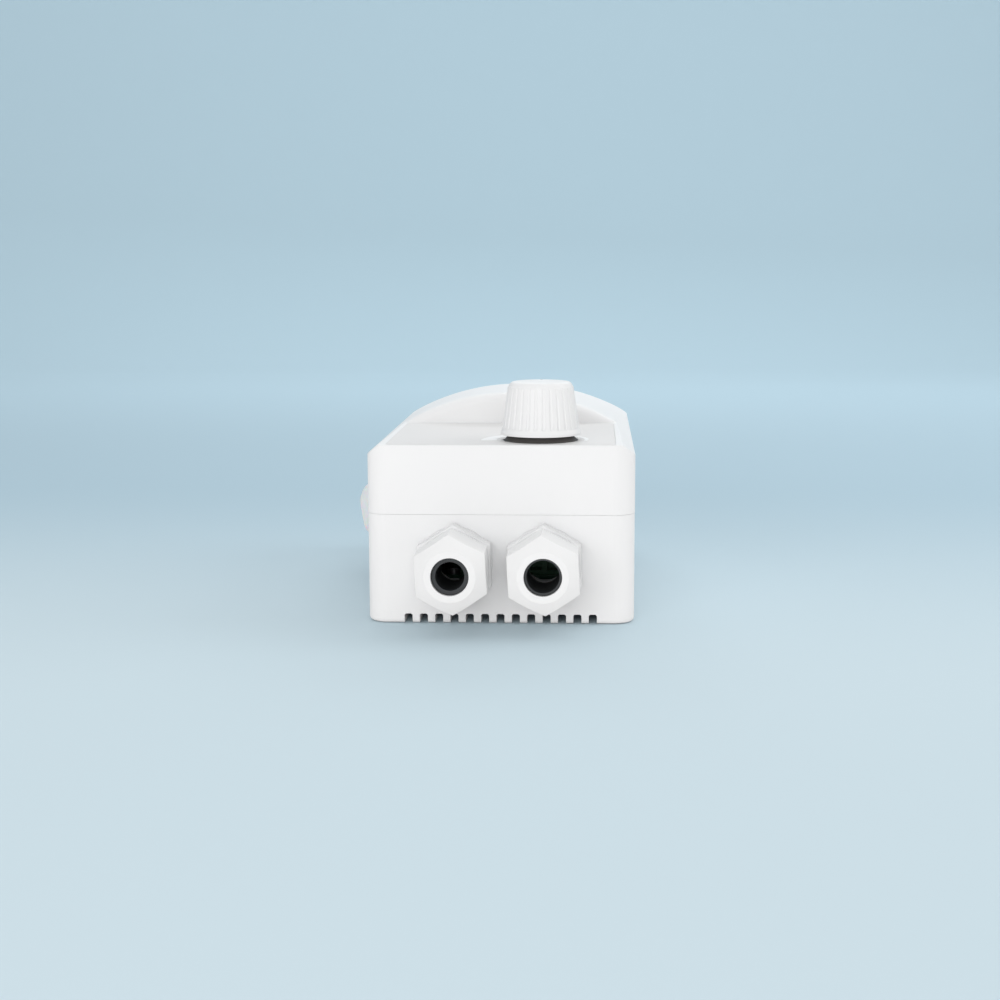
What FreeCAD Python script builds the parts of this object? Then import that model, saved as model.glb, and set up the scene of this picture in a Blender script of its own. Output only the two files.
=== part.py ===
import FreeCAD, Part
import math
import os
import re

import Sketcher

# Fan speed controller in a surface-mount case, in millimetres.
# The wall side is the plane Z = 0, the cable glands point along -Y and the front looks along +Z.
# The origin is the centre of the four wall holes.

SIZES = {
    # Case
    "case_width": 115,
    "case_length": 205,
    "corner_radius": 9,
    "seam_height": 47.1,
    "seam_step": 0.1,
    "seam_gap": 0.12,
    "side_drop": 4.5,
    "panel_height": 77,
    "panel_length": 95.7,
    "crown_near_rise": 18,
    "crown_far_rise": 10.5,
    "arch_margin": 4,
    "dome_inset": 3,
    "dome_round": 4,
    "side_round": 1.2,
    "panel_round": 0.8,
    "base_wall": 2.8,
    "cover_wall": 2.6,
    "floor_top": 6.9,
    "foot_round": 1.8,
    # Air channels in the back
    "channel_count": 13,
    "channel_pitch": 6.6,
    "channel_width": 3.5,
    "channel_depth": 4.1,
    "channel_bevel": 0.6,
    # Wall holes
    "wall_hole_side": 7.5,
    "wall_hole_end": 27.5,
    "wall_hole_radius": 2.6,
    "wall_boss_radius": 5,
    "wall_boss_height": 6,
    # Cover screws and hooks
    "cover_screw_side": 8.5,
    "cover_screw_end": 8.5,
    "pillar_radius": 4.5,
    "pillar_drop": 0.6,
    "cover_pilot_radius": 1.6,
    "cover_pilot_depth": 16,
    "cover_well_radius": 5.6,
    "cover_bore_radius": 2.3,
    "cover_head_bore": 4.3,
    "cover_seat_rise": 8.9,
    "cover_screw_head": 3.5,
    "cover_screw_head_height": 2.8,
    "cover_screw_length": 20,
    "cover_cap_play": 0.1,
    "cover_cap_depth": 5,
    "hook_side": 11.5,
    "hook_width": 7,
    "hook_thickness": 1.8,
    "hook_drop": 7,
    "hook_nose": 0.9,
    "hook_nose_height": 2,
    "hook_play": 0.2,
    "hook_root": 6,
    # Gasket in the rim
    "gasket_width": 1.2,
    "groove_depth": 1.4,
    # Label field
    "label_margin": 0.9,
    "label_side_margin": 8.3,
    "label_thickness": 0.4,
    "label_sunk": 0.3,
    "label_corner": 3,
    "label_play": 0.2,
    # Cable glands
    "gland_left": -19.2,
    "gland_right": 19.1,
    "gland_height": 26.1,
    "gland_hole_radius": 12.75,
    "gland_thread_radius": 12.45,
    "gland_bore_radius": 8.9,
    "gland_washer_radius": 16,
    "gland_washer_thickness": 1.5,
    "washer_play": 0.15,
    "gland_hex_across": 31,
    "gland_hex_height": 7.7,
    "gland_neck_radius": 11.6,
    "gland_neck_reach": 19.5,
    "gland_inner_length": 11,
    "locknut_across": 31,
    "locknut_height": 5.5,
    "locknut_turn": 30,
    "nut_across": 29.5,
    "nut_gap": 0.4,
    "nut_shoulder": 27.4,
    "nut_end": 32.1,
    "nut_rim_radius": 10.8,
    "nut_mouth_radius": 7.9,
    "nut_lip": 1.6,
    "nut_play": 0.08,
    "nut_turn": 3,
    "body_turn": 1.5,
    "seal_start": 3,
    "seal_bore_left": 6,
    "seal_bore_right": 6.8,
    # Knob and potentiometer
    "knob_x": 16.7,
    "knob_end": 21.2,
    "knob_gap": 2.7,
    "skirt_radius": 17.4,
    "skirt_height": 2.6,
    "skirt_edge": 0.9,
    "grip_radius": 16.7,
    "grip_top_radius": 13.9,
    "knob_height": 22.8,
    "knob_round": 2.4,
    "knob_crown": 0.5,
    "knob_wall": 2.4,
    "knob_roof": 3,
    "hub_radius": 6,
    "flute_count": 30,
    "flute_radius": 0.95,
    "flute_depth": 0.55,
    "flute_top_depth": 0.2,
    "pointer_width": 1.2,
    "pointer_length": 6,
    "pointer_depth": 0.5,
    "pointer_margin": 0.6,
    "grub_radius": 1.5,
    "grub_length": 4,
    "grub_rise": 8,
    "seal_top_radius": 13.9,
    "seal_foot_radius": 16.1,
    "seal_foot_height": 0.3,
    "seal_ring_inner": 13,
    "seal_ring_height": 2.6,
    "shaft_radius": 3,
    "shaft_flat": 0.7,
    "shaft_play": 0.05,
    "shaft_depth": 8,
    "bushing_radius": 4.5,
    "bushing_length": 8.5,
    "pot_hole_radius": 4.7,
    "pot_radius": 12.5,
    "pot_depth": 11,
    "pot_lug_width": 2,
    "pot_lug_thickness": 0.8,
    "pot_lug_length": 6,
    "pot_lug_pitch": 5,
    "pot_washer_radius": 7.5,
    "pot_washer_thickness": 0.6,
    "pot_nut_across": 12.5,
    "pot_nut_height": 2.4,
    # Side switch
    "switch_y": 12.5,
    "switch_drop": 13.9,
    "switch_bezel_height": 25.6,
    "switch_bezel_width": 19.6,
    "switch_bezel": 2,
    "switch_corner": 1.5,
    "switch_cutout_height": 21,
    "switch_cutout_width": 16.4,
    "switch_play": 0.15,
    "switch_depth": 19,
    "switch_shell": 1.6,
    "switch_well": 7,
    "rocker_length": 16,
    "rocker_width": 11.6,
    "rocker_pivot": 0.5,
    "rocker_pin_radius": 1.2,
    "rocker_low": 4,
    "rocker_waist": 13,
    "rocker_tip": 14.4,
    "rocker_tilt": 7,
    "boot_wall": 1.1,
    "boot_step": 1.5,
    "boot_end_wall": 2.1,
    "boot_height": 25.4,
    "boot_width": 19.4,
    "boot_flange": 1.8,
    "boot_peak": 17.95,
    "boot_peak_rise": 4.2,
    "boot_peak_length": 3.4,
    "boot_peak_drop": 1,
    "boot_low": 16.3,
    "boot_low_drop": 7.4,
    "boot_shoulder": 13.4,
    "boot_round": 2.6,
    "blade_width": 4.8,
    "blade_thickness": 0.8,
    "blade_length": 7,
    "blade_rise": 5.5,
    "blade_spread": 4.5,
    # Circuit board
    "board_side": 7.5,
    "board_end": 40.5,
    "board_width": 78,
    "board_length": 82,
    "board_level": 12,
    "board_thickness": 1.6,
    "post_inset": 4.5,
    "post_radius": 3.4,
    "post_pilot": 1.2,
    "post_pilot_depth": 4,
    "board_hole": 1.7,
    "board_screw_radius": 1.2,
    "board_screw_head": 2.8,
    "board_screw_head_height": 1.8,
    "board_screw_length": 5.5,
    # Terminal block
    "terminal_count": 6,
    "terminal_pitch": 7.6,
    "terminal_from_left": 30.5,
    "terminal_depth": 12,
    "terminal_height": 15,
    "terminal_inset": 1.5,
    "terminal_mouth": 5,
    "terminal_mouth_depth": 8,
    "terminal_floor": 2,
    "terminal_screw_radius": 2.2,
    "terminal_slot": 0.7,
    "terminal_screw_length": 5,
    # Fuse
    "fuse_from_left": 10,
    "fuse_from_near": 38,
    "fuse_length": 20,
    "fuse_radius": 2.6,
    "fuse_cap": 5,
    "fuse_level": 5.5,
    "clip_width": 6.4,
    "clip_length": 5,
    "clip_play": 0.05,
    # Choke
    "choke_from_left": 30,
    "choke_from_near": 44,
    "choke_radius": 13,
    "choke_inner": 6.5,
    "choke_height": 10,
    "choke_core": 1.6,
    # Capacitors and resistors
    "filter_from_left": 30,
    "filter_from_near": 65,
    "filter_length": 26,
    "filter_width": 10,
    "filter_height": 19,
    "cap_from_left": 55,
    "cap_from_near": 32,
    "cap_spacing": 12,
    "cap_length": 13,
    "cap_width": 6,
    "cap_height": 11,
    "resistor_from_left": 55,
    "resistor_from_near": 62,
    "resistor_pitch": 5,
    "resistor_count": 4,
    "resistor_radius": 1.4,
    "resistor_length": 7,
    "resistor_wire": 0.35,
    "resistor_joint": 0.6,
    "resistor_span": 11,
    # Minimum speed trimmer
    "trimmer_from_left": 70,
    "trimmer_from_near": 24,
    "trimmer_side": 10,
    "trimmer_height": 5,
    "trimmer_dial": 3.2,
    "trimmer_dial_depth": 3,
    "trimmer_dial_proud": 0.8,
    "trimmer_play": 0.08,
    "trimmer_lift": 0.05,
    "trimmer_slot_width": 0.9,
    "trimmer_slot_depth": 0.8,
    # Heat sink and triac
    "sink_gap": 4,
    "sink_end": 16.5,
    "sink_side": 15.5,
    "sink_level": 9,
    "sink_plate": 5,
    "sink_ledge": 22,
    "sink_tail": 10,
    "sink_fin": 2,
    "sink_fin_count": 9,
    "sink_top": 66,
    "sink_post_inset": 5,
    "sink_post_radius": 4,
    "sink_hole_radius": 2.1,
    "sink_screw_head": 3.3,
    "sink_screw_head_height": 2.4,
    "sink_screw_length": 9,
    "sink_pilot_radius": 1.4,
    "sink_pilot_depth": 6.5,
    "triac_x": 12,
    "triac_gap": 1,
    "triac_width": 10,
    "triac_length": 9,
    "triac_thickness": 4.5,
    "triac_tab": 1.3,
    "triac_tab_length": 6.5,
    "triac_hole": 1.8,
    "triac_leg": 0.8,
    "triac_leg_pitch": 2.54,
    "triac_screw_radius": 1.5,
    "triac_screw_head": 2.9,
    "triac_screw_head_height": 2,
    "triac_screw_length": 5,
    # Inner leads
    "lead_radius": 1,
    "lead_drop": 12,
    "lead_rise": 12,
    "lead_foot_from_left": 66,
    "lead_foot_from_near": 12,
    "lead_foot_pitch": 3.5,
    "lead_solder_inset": 1.4,
    "switch_lead_end": 16.5,
    "switch_lead_spread": 2.5,
}

# Places that follow the sizes above
DERIVED = {
    "side_height": "panel_height - side_drop",
    "crown_near": "panel_height + crown_near_rise",
    "crown_far": "panel_height + crown_far_rise",
    "wall_hole_x": "case_width / 2 - wall_hole_side",
    "wall_hole_y": "case_length / 2 - wall_hole_end",
    "cover_screw_x": "case_width / 2 - cover_screw_side",
    "cover_screw_y": "case_length / 2 - cover_screw_end",
    "cover_head_seat": "seam_height + cover_seat_rise",
    "hook_x": "case_width / 2 - hook_side",
    "knob_y": "knob_end - case_length / 2",
    "switch_z": "seam_height - switch_drop",
    "board_right": "case_width / 2 - board_side",
    "board_left": "board_right - board_width",
    "board_near": "board_end - case_length / 2",
    "board_far": "board_near + board_length",
    "terminal_x": "board_left + terminal_from_left",
    "fuse_x": "board_left + fuse_from_left",
    "fuse_y": "board_near + fuse_from_near",
    "choke_x": "board_left + choke_from_left",
    "choke_y": "board_near + choke_from_near",
    "filter_x": "board_left + filter_from_left",
    "filter_y": "board_near + filter_from_near",
    "cap_x": "board_left + cap_from_left",
    "cap_y": "board_near + cap_from_near",
    "resistor_x": "board_left + resistor_from_left",
    "resistor_y": "board_near + resistor_from_near",
    "trimmer_x": "board_left + trimmer_from_left",
    "trimmer_y": "board_near + trimmer_from_near",
    "lead_foot_x": "board_left + lead_foot_from_left",
    "lead_foot_y": "board_near + lead_foot_from_near",
    "sink_near": "board_far + sink_gap",
    "sink_far": "case_length / 2 - sink_end",
    "sink_half_width": "case_width / 2 - sink_side",
}

TOLERANCE = 0.01

doc = FreeCAD.newDocument("FanSpeedController")
sheet = doc.addObject("Spreadsheet::Sheet", "Sizes")
CELLS = {alias: str(size) for alias, size in SIZES.items()}
CELLS.update({alias: f"={formula}" for alias, formula in DERIVED.items()})
for row, (alias, content) in enumerate(CELLS.items(), start=1):
    sheet.set(f"A{row}", alias)
    sheet.setAlias(f"B{row}", alias)
    sheet.set(f"B{row}", content)
doc.recompute()

NODES = []
X_AXIS = FreeCAD.Vector(1, 0, 0)
Y_AXIS = FreeCAD.Vector(0, 1, 0)
Z_AXIS = FreeCAD.Vector(0, 0, 1)
UPRIGHT = FreeCAD.Rotation()
TO_FRONT = FreeCAD.Rotation(X_AXIS, 90)
TO_LEFT = FreeCAD.Rotation(Y_AXIS, -90)


def bound(text):
    """The expression text with each size read from the sheet."""
    return re.sub(r"[a-z][a-z_]*", lambda word: f"Sizes.{word[0]}" if word[0] in CELLS else word[0],
                  str(text))


def number(text):
    """The value of an expression, in millimetres or degrees."""
    found = sheet.evalExpression(bound(text))
    return float(getattr(found, "Value", found))


def place(thing, x="0", y="0", z="0", rotation=UPRIGHT):
    """Put an object at a place that follows the sheet."""
    thing.Placement = FreeCAD.Placement(FreeCAD.Vector(number(x), number(y), number(z)), rotation)
    for axis, text in (("x", x), ("y", y), ("z", z)):
        thing.setExpression(f"Placement.Base.{axis}", bound(text))
    return thing


def node(thing, label):
    """Name an object as a sub-part that is written to its own file."""
    thing.Label = label
    NODES.append(thing)
    return thing


# Sketches, each line and circle bound to the sheet

def new_body(name):
    return doc.addObject("PartDesign::Body", name)


def new_sketch(body, name, plane="XY_Plane", offset="0"):
    sketch = body.newObject("Sketcher::SketchObject", name)
    support = [item for item in body.Origin.OriginFeatures if item.Role == plane][0]
    sketch.AttachmentSupport = [(support, "")]
    sketch.MapMode = "FlatFace"
    sketch.AttachmentOffset = FreeCAD.Placement(FreeCAD.Vector(0, 0, number(offset)), UPRIGHT)
    sketch.setExpression("AttachmentOffset.Base.z", bound(offset))
    return sketch


def pin_point(sketch, geometry, end, x, y):
    """Hold a point of the sketch at a place that follows the sheet."""
    for kind, text in (("DistanceX", x), ("DistanceY", y)):
        index = sketch.addConstraint(Sketcher.Constraint(kind, -1, 1, geometry, end, number(text)))
        sketch.setExpression(f"Constraints[{index}]", bound(text))


def polygon(sketch, points):
    """A closed outline of straight lines through points given as expressions."""
    first = sketch.GeometryCount
    count = len(points)
    spots = [FreeCAD.Vector(number(x), number(y), 0) for x, y in points]
    for index in range(count):
        sketch.addGeometry(Part.LineSegment(spots[index], spots[(index + 1) % count]))
    for index in range(count):
        following = first + (index + 1) % count
        sketch.addConstraint(Sketcher.Constraint("Coincident", first + index, 2, following, 1))
    for index, (x, y) in enumerate(points):
        pin_point(sketch, first + index, 1, x, y)
    return sketch


def rectangle(sketch, x_low, x_high, y_low, y_high):
    return polygon(sketch, [(x_low, y_low), (x_high, y_low), (x_high, y_high), (x_low, y_high)])


def hexagon(sketch, across):
    """A hexagon with a corner straight up."""
    half, low, high = f"{across} / 2", f"{across} / 2 / sqrt(3)", f"{across} / sqrt(3)"
    corners = [(half, f"-({low})"), (half, low), ("0", high)]
    corners += [(f"-({half})", low), (f"-({half})", f"-({low})"), ("0", f"-({high})")]
    return polygon(sketch, corners)


def circle(sketch, x, y, radius):
    centre = FreeCAD.Vector(number(x), number(y), 0)
    index = sketch.addGeometry(Part.Circle(centre, Z_AXIS, number(radius)))
    pin_point(sketch, index, 3, x, y)
    size = sketch.addConstraint(Sketcher.Constraint("Radius", index, number(radius)))
    sketch.setExpression(f"Constraints[{size}]", bound(radius))
    return sketch


def rounded_rectangle(sketch, x_low, x_high, y_low, y_high, radius):
    """Four lines joined by four equal arcs."""
    left, right, near, far = (number(text) for text in (x_low, x_high, y_low, y_high))
    bend = number(radius)
    corners = [(right - bend, near + bend), (right - bend, far - bend)]
    corners += [(left + bend, far - bend), (left + bend, near + bend)]
    first = sketch.GeometryCount
    for turn, (x, y) in enumerate(corners):
        start = math.radians(90 * (turn - 1))
        before = corners[turn - 1]
        side = (math.cos(start) * bend, math.sin(start) * bend)
        start_spot = FreeCAD.Vector(before[0] + side[0], before[1] + side[1], 0)
        end_spot = FreeCAD.Vector(x + side[0], y + side[1], 0)
        sketch.addGeometry(Part.LineSegment(start_spot, end_spot))
        rim = Part.Circle(FreeCAD.Vector(x, y, 0), Z_AXIS, bend)
        sketch.addGeometry(Part.ArcOfCircle(rim, start, start + math.pi / 2))
    for turn in range(4):
        line = first + 2 * turn
        arc = line + 1
        following = first + (2 * turn + 2) % 8
        sketch.addConstraint(Sketcher.Constraint("Tangent", line, 2, arc, 1))
        sketch.addConstraint(Sketcher.Constraint("Tangent", arc, 2, following, 1))
        sketch.addConstraint(Sketcher.Constraint("Horizontal" if turn % 2 == 0 else "Vertical", line))
    sides = (("DistanceY", 0, y_low), ("DistanceX", 2, x_high), ("DistanceY", 4, y_high),
             ("DistanceX", 6, x_low))
    for kind, line, text in sides:
        index = sketch.addConstraint(Sketcher.Constraint(kind, -1, 1, first + line, 1, number(text)))
        sketch.setExpression(f"Constraints[{index}]", bound(text))
    index = sketch.addConstraint(Sketcher.Constraint("Radius", first + 1, bend))
    sketch.setExpression(f"Constraints[{index}]", bound(radius))
    for arc in (3, 5, 7):
        sketch.addConstraint(Sketcher.Constraint("Equal", first + 1, first + arc))
    return sketch


# Features

def extrude(body, kind, sketch, length, along_normal, both_ways):
    feature = body.newObject(kind, sketch.Name + "_" + kind.split("::")[1])
    feature.Profile = sketch
    feature.setExpression("Length", bound(length))
    feature.Reversed = (kind == "PartDesign::Pocket") == along_normal
    feature.Midplane = both_ways
    doc.recompute()
    return feature


def pad(body, sketch, length, along_normal=True, both_ways=False):
    return extrude(body, "PartDesign::Pad", sketch, length, along_normal, both_ways)


def pocket(body, sketch, length, along_normal=False, both_ways=False):
    before = body.Shape.Volume
    feature = extrude(body, "PartDesign::Pocket", sketch, length, along_normal, both_ways)
    if body.Shape.Volume >= before:
        raise ValueError(f"{feature.Label} cuts nothing")
    return feature


def revolve(body, sketch, kind="PartDesign::Revolution"):
    feature = body.newObject(kind, sketch.Name + "_turned")
    feature.Profile = sketch
    feature.ReferenceAxis = (sketch, ["V_Axis"])
    feature.Angle = 360
    doc.recompute()
    return feature


def round_edges(body, name, radius, chosen):
    """Fillet the edges of the body's last feature that pass the test."""
    base = body.Tip
    edges = [f"Edge{index}" for index, edge in enumerate(base.Shape.Edges, start=1) if chosen(edge)]
    feature = body.newObject("PartDesign::Fillet", name)
    feature.Base = (base, edges)
    feature.setExpression("Radius", bound(radius))
    doc.recompute()
    return feature


def lies_at(edge, axis, level):
    """True where the whole edge lies at one level of an axis."""
    box = edge.BoundBox
    low, high = getattr(box, f"{axis}Min"), getattr(box, f"{axis}Max")
    return abs(low - level) < TOLERANCE and abs(high - level) < TOLERANCE


def turned(name, outline, rotation=UPRIGHT, x="0", y="0", z="0"):
    """A body turned from an outline of radius and height about its own axis."""
    body = new_body(name)
    revolve(body, polygon(new_sketch(body, name + "_outline", "XZ_Plane"), outline))
    place(body, x, y, z, rotation)
    return body


# Primitives and booleans

def block(name, x_low, x_high, y_low, y_high, z_low, z_high):
    box = doc.addObject("Part::Box", name)
    box.setExpression("Length", bound(f"({x_high}) - ({x_low})"))
    box.setExpression("Width", bound(f"({y_high}) - ({y_low})"))
    box.setExpression("Height", bound(f"({z_high}) - ({z_low})"))
    return place(box, x_low, y_low, z_low)


def rod(name, radius, length, x, y, z, rotation=UPRIGHT):
    cylinder = doc.addObject("Part::Cylinder", name)
    cylinder.setExpression("Radius", bound(radius))
    cylinder.setExpression("Height", bound(length))
    return place(cylinder, x, y, z, rotation)


def prism(name, across, height, x, y, z, rotation=UPRIGHT):
    shape = doc.addObject("Part::Prism", name)
    shape.Polygon = 6
    shape.setExpression("Circumradius", bound(f"({across}) / sqrt(3)"))
    shape.setExpression("Height", bound(height))
    return place(shape, x, y, z, rotation)


def fused(name, *things):
    result = doc.addObject("Part::MultiFuse", name)
    result.Shapes = list(things)
    return result


def minus(name, base, *tools):
    result = doc.addObject("Part::Cut", name)
    result.Base = base
    result.Tool = tools[0] if len(tools) == 1 else fused(name + "_tools", *tools)
    return result


def shared(name, base, tool):
    result = doc.addObject("Part::Common", name)
    result.Base = base
    result.Tool = tool
    return result


def group(name, things):
    result = doc.addObject("Part::Compound", name)
    result.Links = things
    return result


def rounded(name, base, radius, chosen):
    doc.recompute()
    result = doc.addObject("Part::Fillet", name)
    result.Base = base
    size = number(radius)
    edges = enumerate(base.Shape.Edges, start=1)
    result.Edges = [(index, size, size) for index, edge in edges if chosen(edge)]
    doc.recompute()
    return result


# Places that several pieces share

BASE_X = "(case_width / 2 - seam_step)"
BASE_Y = "(case_length / 2 - seam_step)"
BASE_CORNER = "(corner_radius - seam_step)"
INSIDE_X = f"({BASE_X} - base_wall)"
INSIDE_Y = f"({BASE_Y} - base_wall)"
COVER_BOTTOM = "(seam_height + seam_gap)"
PANEL_END = "(panel_length - case_length / 2)"
PANEL_UNDER = "(panel_height - cover_wall)"
BOARD_TOP = "(board_level + board_thickness)"
SINK_TOP = "(sink_level + sink_plate)"
KNOB_BOTTOM = "(panel_height + knob_gap)"
POT_TOP = PANEL_UNDER
WALL_SPOTS = [(f"{x} * wall_hole_x", f"{y} * wall_hole_y") for x in (-1, 1) for y in (-1, 1)]
SCREW_SPOTS = [(f"{side} * cover_screw_x", "cover_screw_y") for side in (-1, 1)]
BOARD_SPOTS = [
    (x, y)
    for x in ("(board_left + post_inset)", "(board_right - post_inset)")
    for y in ("(board_near + post_inset)", "(board_far - post_inset)")
]
SINK_SPOTS = [
    (f"{side} * (sink_half_width - sink_post_inset)", y)
    for side in (-1, 1)
    for y in ("(sink_near + sink_post_inset)", "(sink_far - sink_post_inset)")
]
GLANDS = {"left": "gland_left", "right": "gland_right"}


# Rear housing

def posts(body, name, spots, radius, top):
    """Round posts that grow out of the housing's floor."""
    sketch = new_sketch(body, name, "XY_Plane", "floor_top - 1")
    for x, y in spots:
        circle(sketch, x, y, radius)
    pad(body, sketch, f"{top} - floor_top + 1")


def pilots(body, name, spots, radius, top, depth):
    """Blind holes down from a level."""
    sketch = new_sketch(body, name, "XY_Plane", top)
    for x, y in spots:
        circle(sketch, x, y, radius)
    pocket(body, sketch, depth)


def make_rear_housing():
    body = new_body("RearHousing")
    outline = new_sketch(body, "housing_outline")
    rounded_rectangle(outline, f"-{BASE_X}", BASE_X, f"-{BASE_Y}", BASE_Y, BASE_CORNER)
    pad(body, outline, "seam_height")
    round_edges(body, "foot_rounding", "foot_round", lambda edge: lies_at(edge, "Z", 0))
    inside = new_sketch(body, "housing_inside", "XY_Plane", "floor_top")
    rounded_rectangle(inside, f"-{INSIDE_X}", INSIDE_X, f"-{INSIDE_Y}", INSIDE_Y,
                      f"{BASE_CORNER} - base_wall")
    pocket(body, inside, "seam_height", along_normal=True)
    posts(body, "wall_bosses", WALL_SPOTS, "wall_boss_radius", "floor_top + wall_boss_height")
    posts(body, "cover_pillars", SCREW_SPOTS, "pillar_radius", "seam_height - pillar_drop")
    posts(body, "board_posts", BOARD_SPOTS, "post_radius", "board_level")
    posts(body, "sink_posts", SINK_SPOTS, "sink_post_radius", "sink_level")
    pilots(body, "wall_holes", WALL_SPOTS, "wall_hole_radius", "seam_height", "seam_height + 1")
    pilots(body, "cover_pilots", SCREW_SPOTS, "cover_pilot_radius", "seam_height", "cover_pilot_depth")
    pilots(body, "board_pilots", BOARD_SPOTS, "post_pilot", "board_level", "post_pilot_depth")
    pilots(body, "sink_pilots", SINK_SPOTS, "sink_pilot_radius", "sink_level", "sink_pilot_depth")
    cut_rim_groove(body)
    cut_hook_slots(body)
    cut_wall_openings(body)
    cut_channels(body)
    return node(body, "rear_housing")


def cut_rim_groove(body):
    """The groove round the rim that holds the gasket."""
    groove = new_sketch(body, "rim_groove", "XY_Plane", "seam_height")
    for inset in ("(base_wall - gasket_width) / 2", "(base_wall + gasket_width) / 2"):
        half_x, half_y = f"({BASE_X} - {inset})", f"({BASE_Y} - {inset})"
        rounded_rectangle(groove, f"-{half_x}", half_x, f"-{half_y}", half_y, f"{BASE_CORNER} - {inset}")
    pocket(body, groove, "groove_depth")


def cut_hook_slots(body):
    """Two slots in the gland wall that catch the cover's hooks."""
    for side in (-1, 1):
        slot = new_sketch(body, f"hook_slot_{'left' if side < 0 else 'right'}", "XZ_Plane", f"{INSIDE_Y} - 1")
        low = "(seam_height - hook_drop - hook_play)"
        middle = f"{side} * hook_x"
        reach = "(hook_width / 2 + hook_play)"
        rectangle(slot, f"{middle} - {reach}", f"{middle} + {reach}", low,
                  f"{low} + hook_nose_height + 2 * hook_play")
        pocket(body, slot, "1 + hook_nose + hook_play", along_normal=True)


def cut_wall_openings(body):
    """Two round gland holes in the near wall and the switch's cut-out in the left wall."""
    holes = new_sketch(body, "gland_holes", "XZ_Plane", f"{INSIDE_Y} - 1")
    for x in GLANDS.values():
        circle(holes, x, "gland_height", "gland_hole_radius")
    pocket(body, holes, "base_wall + 2", along_normal=True)
    cutout = new_sketch(body, "switch_cutout", "YZ_Plane", f"1 - {INSIDE_X}")
    half_y, half_z = "switch_cutout_width / 2", "switch_cutout_height / 2"
    rectangle(cutout, f"switch_y - {half_y}", f"switch_y + {half_y}",
              f"switch_z - {half_z}", f"switch_z + {half_z}")
    pocket(body, cutout, "base_wall + 2")


def cut_channels(body):
    """Air channels along the back, a row of equal grooves."""
    first = "(-(channel_count - 1) / 2 * channel_pitch)"
    left, right = f"{first} - channel_width / 2", f"{first} + channel_width / 2"
    profile = new_sketch(body, "channel_profile", "XZ_Plane")
    corners = [(left, "-1"), (right, "-1"), (right, "channel_depth - channel_bevel")]
    corners += [(f"{right} - channel_bevel", "channel_depth"), (f"{left} + channel_bevel", "channel_depth")]
    corners += [(left, "channel_depth - channel_bevel")]
    polygon(profile, corners)
    groove = pocket(body, profile, "case_length + 2", both_ways=True)
    pattern = body.newObject("PartDesign::LinearPattern", "channels")
    pattern.Originals = [groove]
    pattern.Direction = (profile, ["H_Axis"])
    pattern.setExpression("Length", bound("(channel_count - 1) * channel_pitch"))
    pattern.setExpression("Occurrences", bound("channel_count"))
    body.Tip = pattern
    doc.recompute()


# Front cover

def arch_outline(body, name, offset, half_width, bottom, side, crown):
    """An outline wider than the case, its top an arc that meets the case's sides at the side's height."""
    sketch = new_sketch(body, name, "XZ_Plane", offset)
    rise = f"({crown} - {side})"
    radius = f"(({half_width}^2 + {rise}^2) / 2 / {rise})"
    beyond = f"({half_width} + arch_margin)"
    shoulder = f"({crown} - {radius} + sqrt({radius}^2 - {beyond}^2))"
    wide, low, high, top = (number(text) for text in (beyond, bottom, shoulder, crown))
    spots = [(-wide, high), (-wide, low), (wide, low), (wide, high)]
    vectors = [FreeCAD.Vector(x, y, 0) for x, y in spots]
    for start, end in zip(vectors, vectors[1:]):
        sketch.addGeometry(Part.LineSegment(start, end))
    sketch.addGeometry(Part.Arc(vectors[3], FreeCAD.Vector(0, top, 0), vectors[0]))
    for index in range(4):
        sketch.addConstraint(Sketcher.Constraint("Coincident", index, 2, (index + 1) % 4, 1))
    for index, (x, y) in enumerate(((f"-{beyond}", shoulder), (f"-{beyond}", bottom), (beyond, bottom))):
        pin_point(sketch, index, 1, x, y)
    pin_point(sketch, 2, 2, beyond, shoulder)
    index = sketch.addConstraint(Sketcher.Constraint("Radius", 3, number(radius)))
    sketch.setExpression(f"Constraints[{index}]", bound(radius))
    return sketch


def arched_form(name, inset, bottom):
    """A block with rounded corners under an arch, drawn in by a wall's thickness."""
    arch = new_body(name + "_arch")
    half_width = f"(case_width / 2 - {inset})"
    half_length = f"(case_length / 2 - {inset})"
    side = f"(side_height - {inset})"
    beyond = f"({half_length} + arch_margin)"
    low = f"({bottom} - 5)"
    near = arch_outline(arch, name + "_near", beyond, half_width, low, side, f"(crown_near - {inset})")
    far = arch_outline(arch, name + "_far", f"-{beyond}", half_width, low, side, f"(crown_far - {inset})")
    loft = arch.newObject("PartDesign::AdditiveLoft", name + "_loft")
    loft.Profile = near
    loft.Sections = [far]
    loft.Ruled = True
    doc.recompute()
    column = new_body(name + "_column")
    outline = new_sketch(column, name + "_outline", "XY_Plane", bottom)
    rounded_rectangle(outline, f"-{half_width}", half_width, f"-{half_length}", half_length,
                      f"(corner_radius - {inset})")
    pad(column, outline, "crown_near")
    return shared(name, column, arch)


def runs_along_side(edge):
    """True for the long edges where the arch meets the side walls."""
    box = edge.BoundBox
    slack = number("side_round")
    above = box.ZMin > number("side_height") - slack
    return above and box.YLength > number("case_length") / 2 and box.ZLength < slack and abs(box.XMin) > slack


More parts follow.
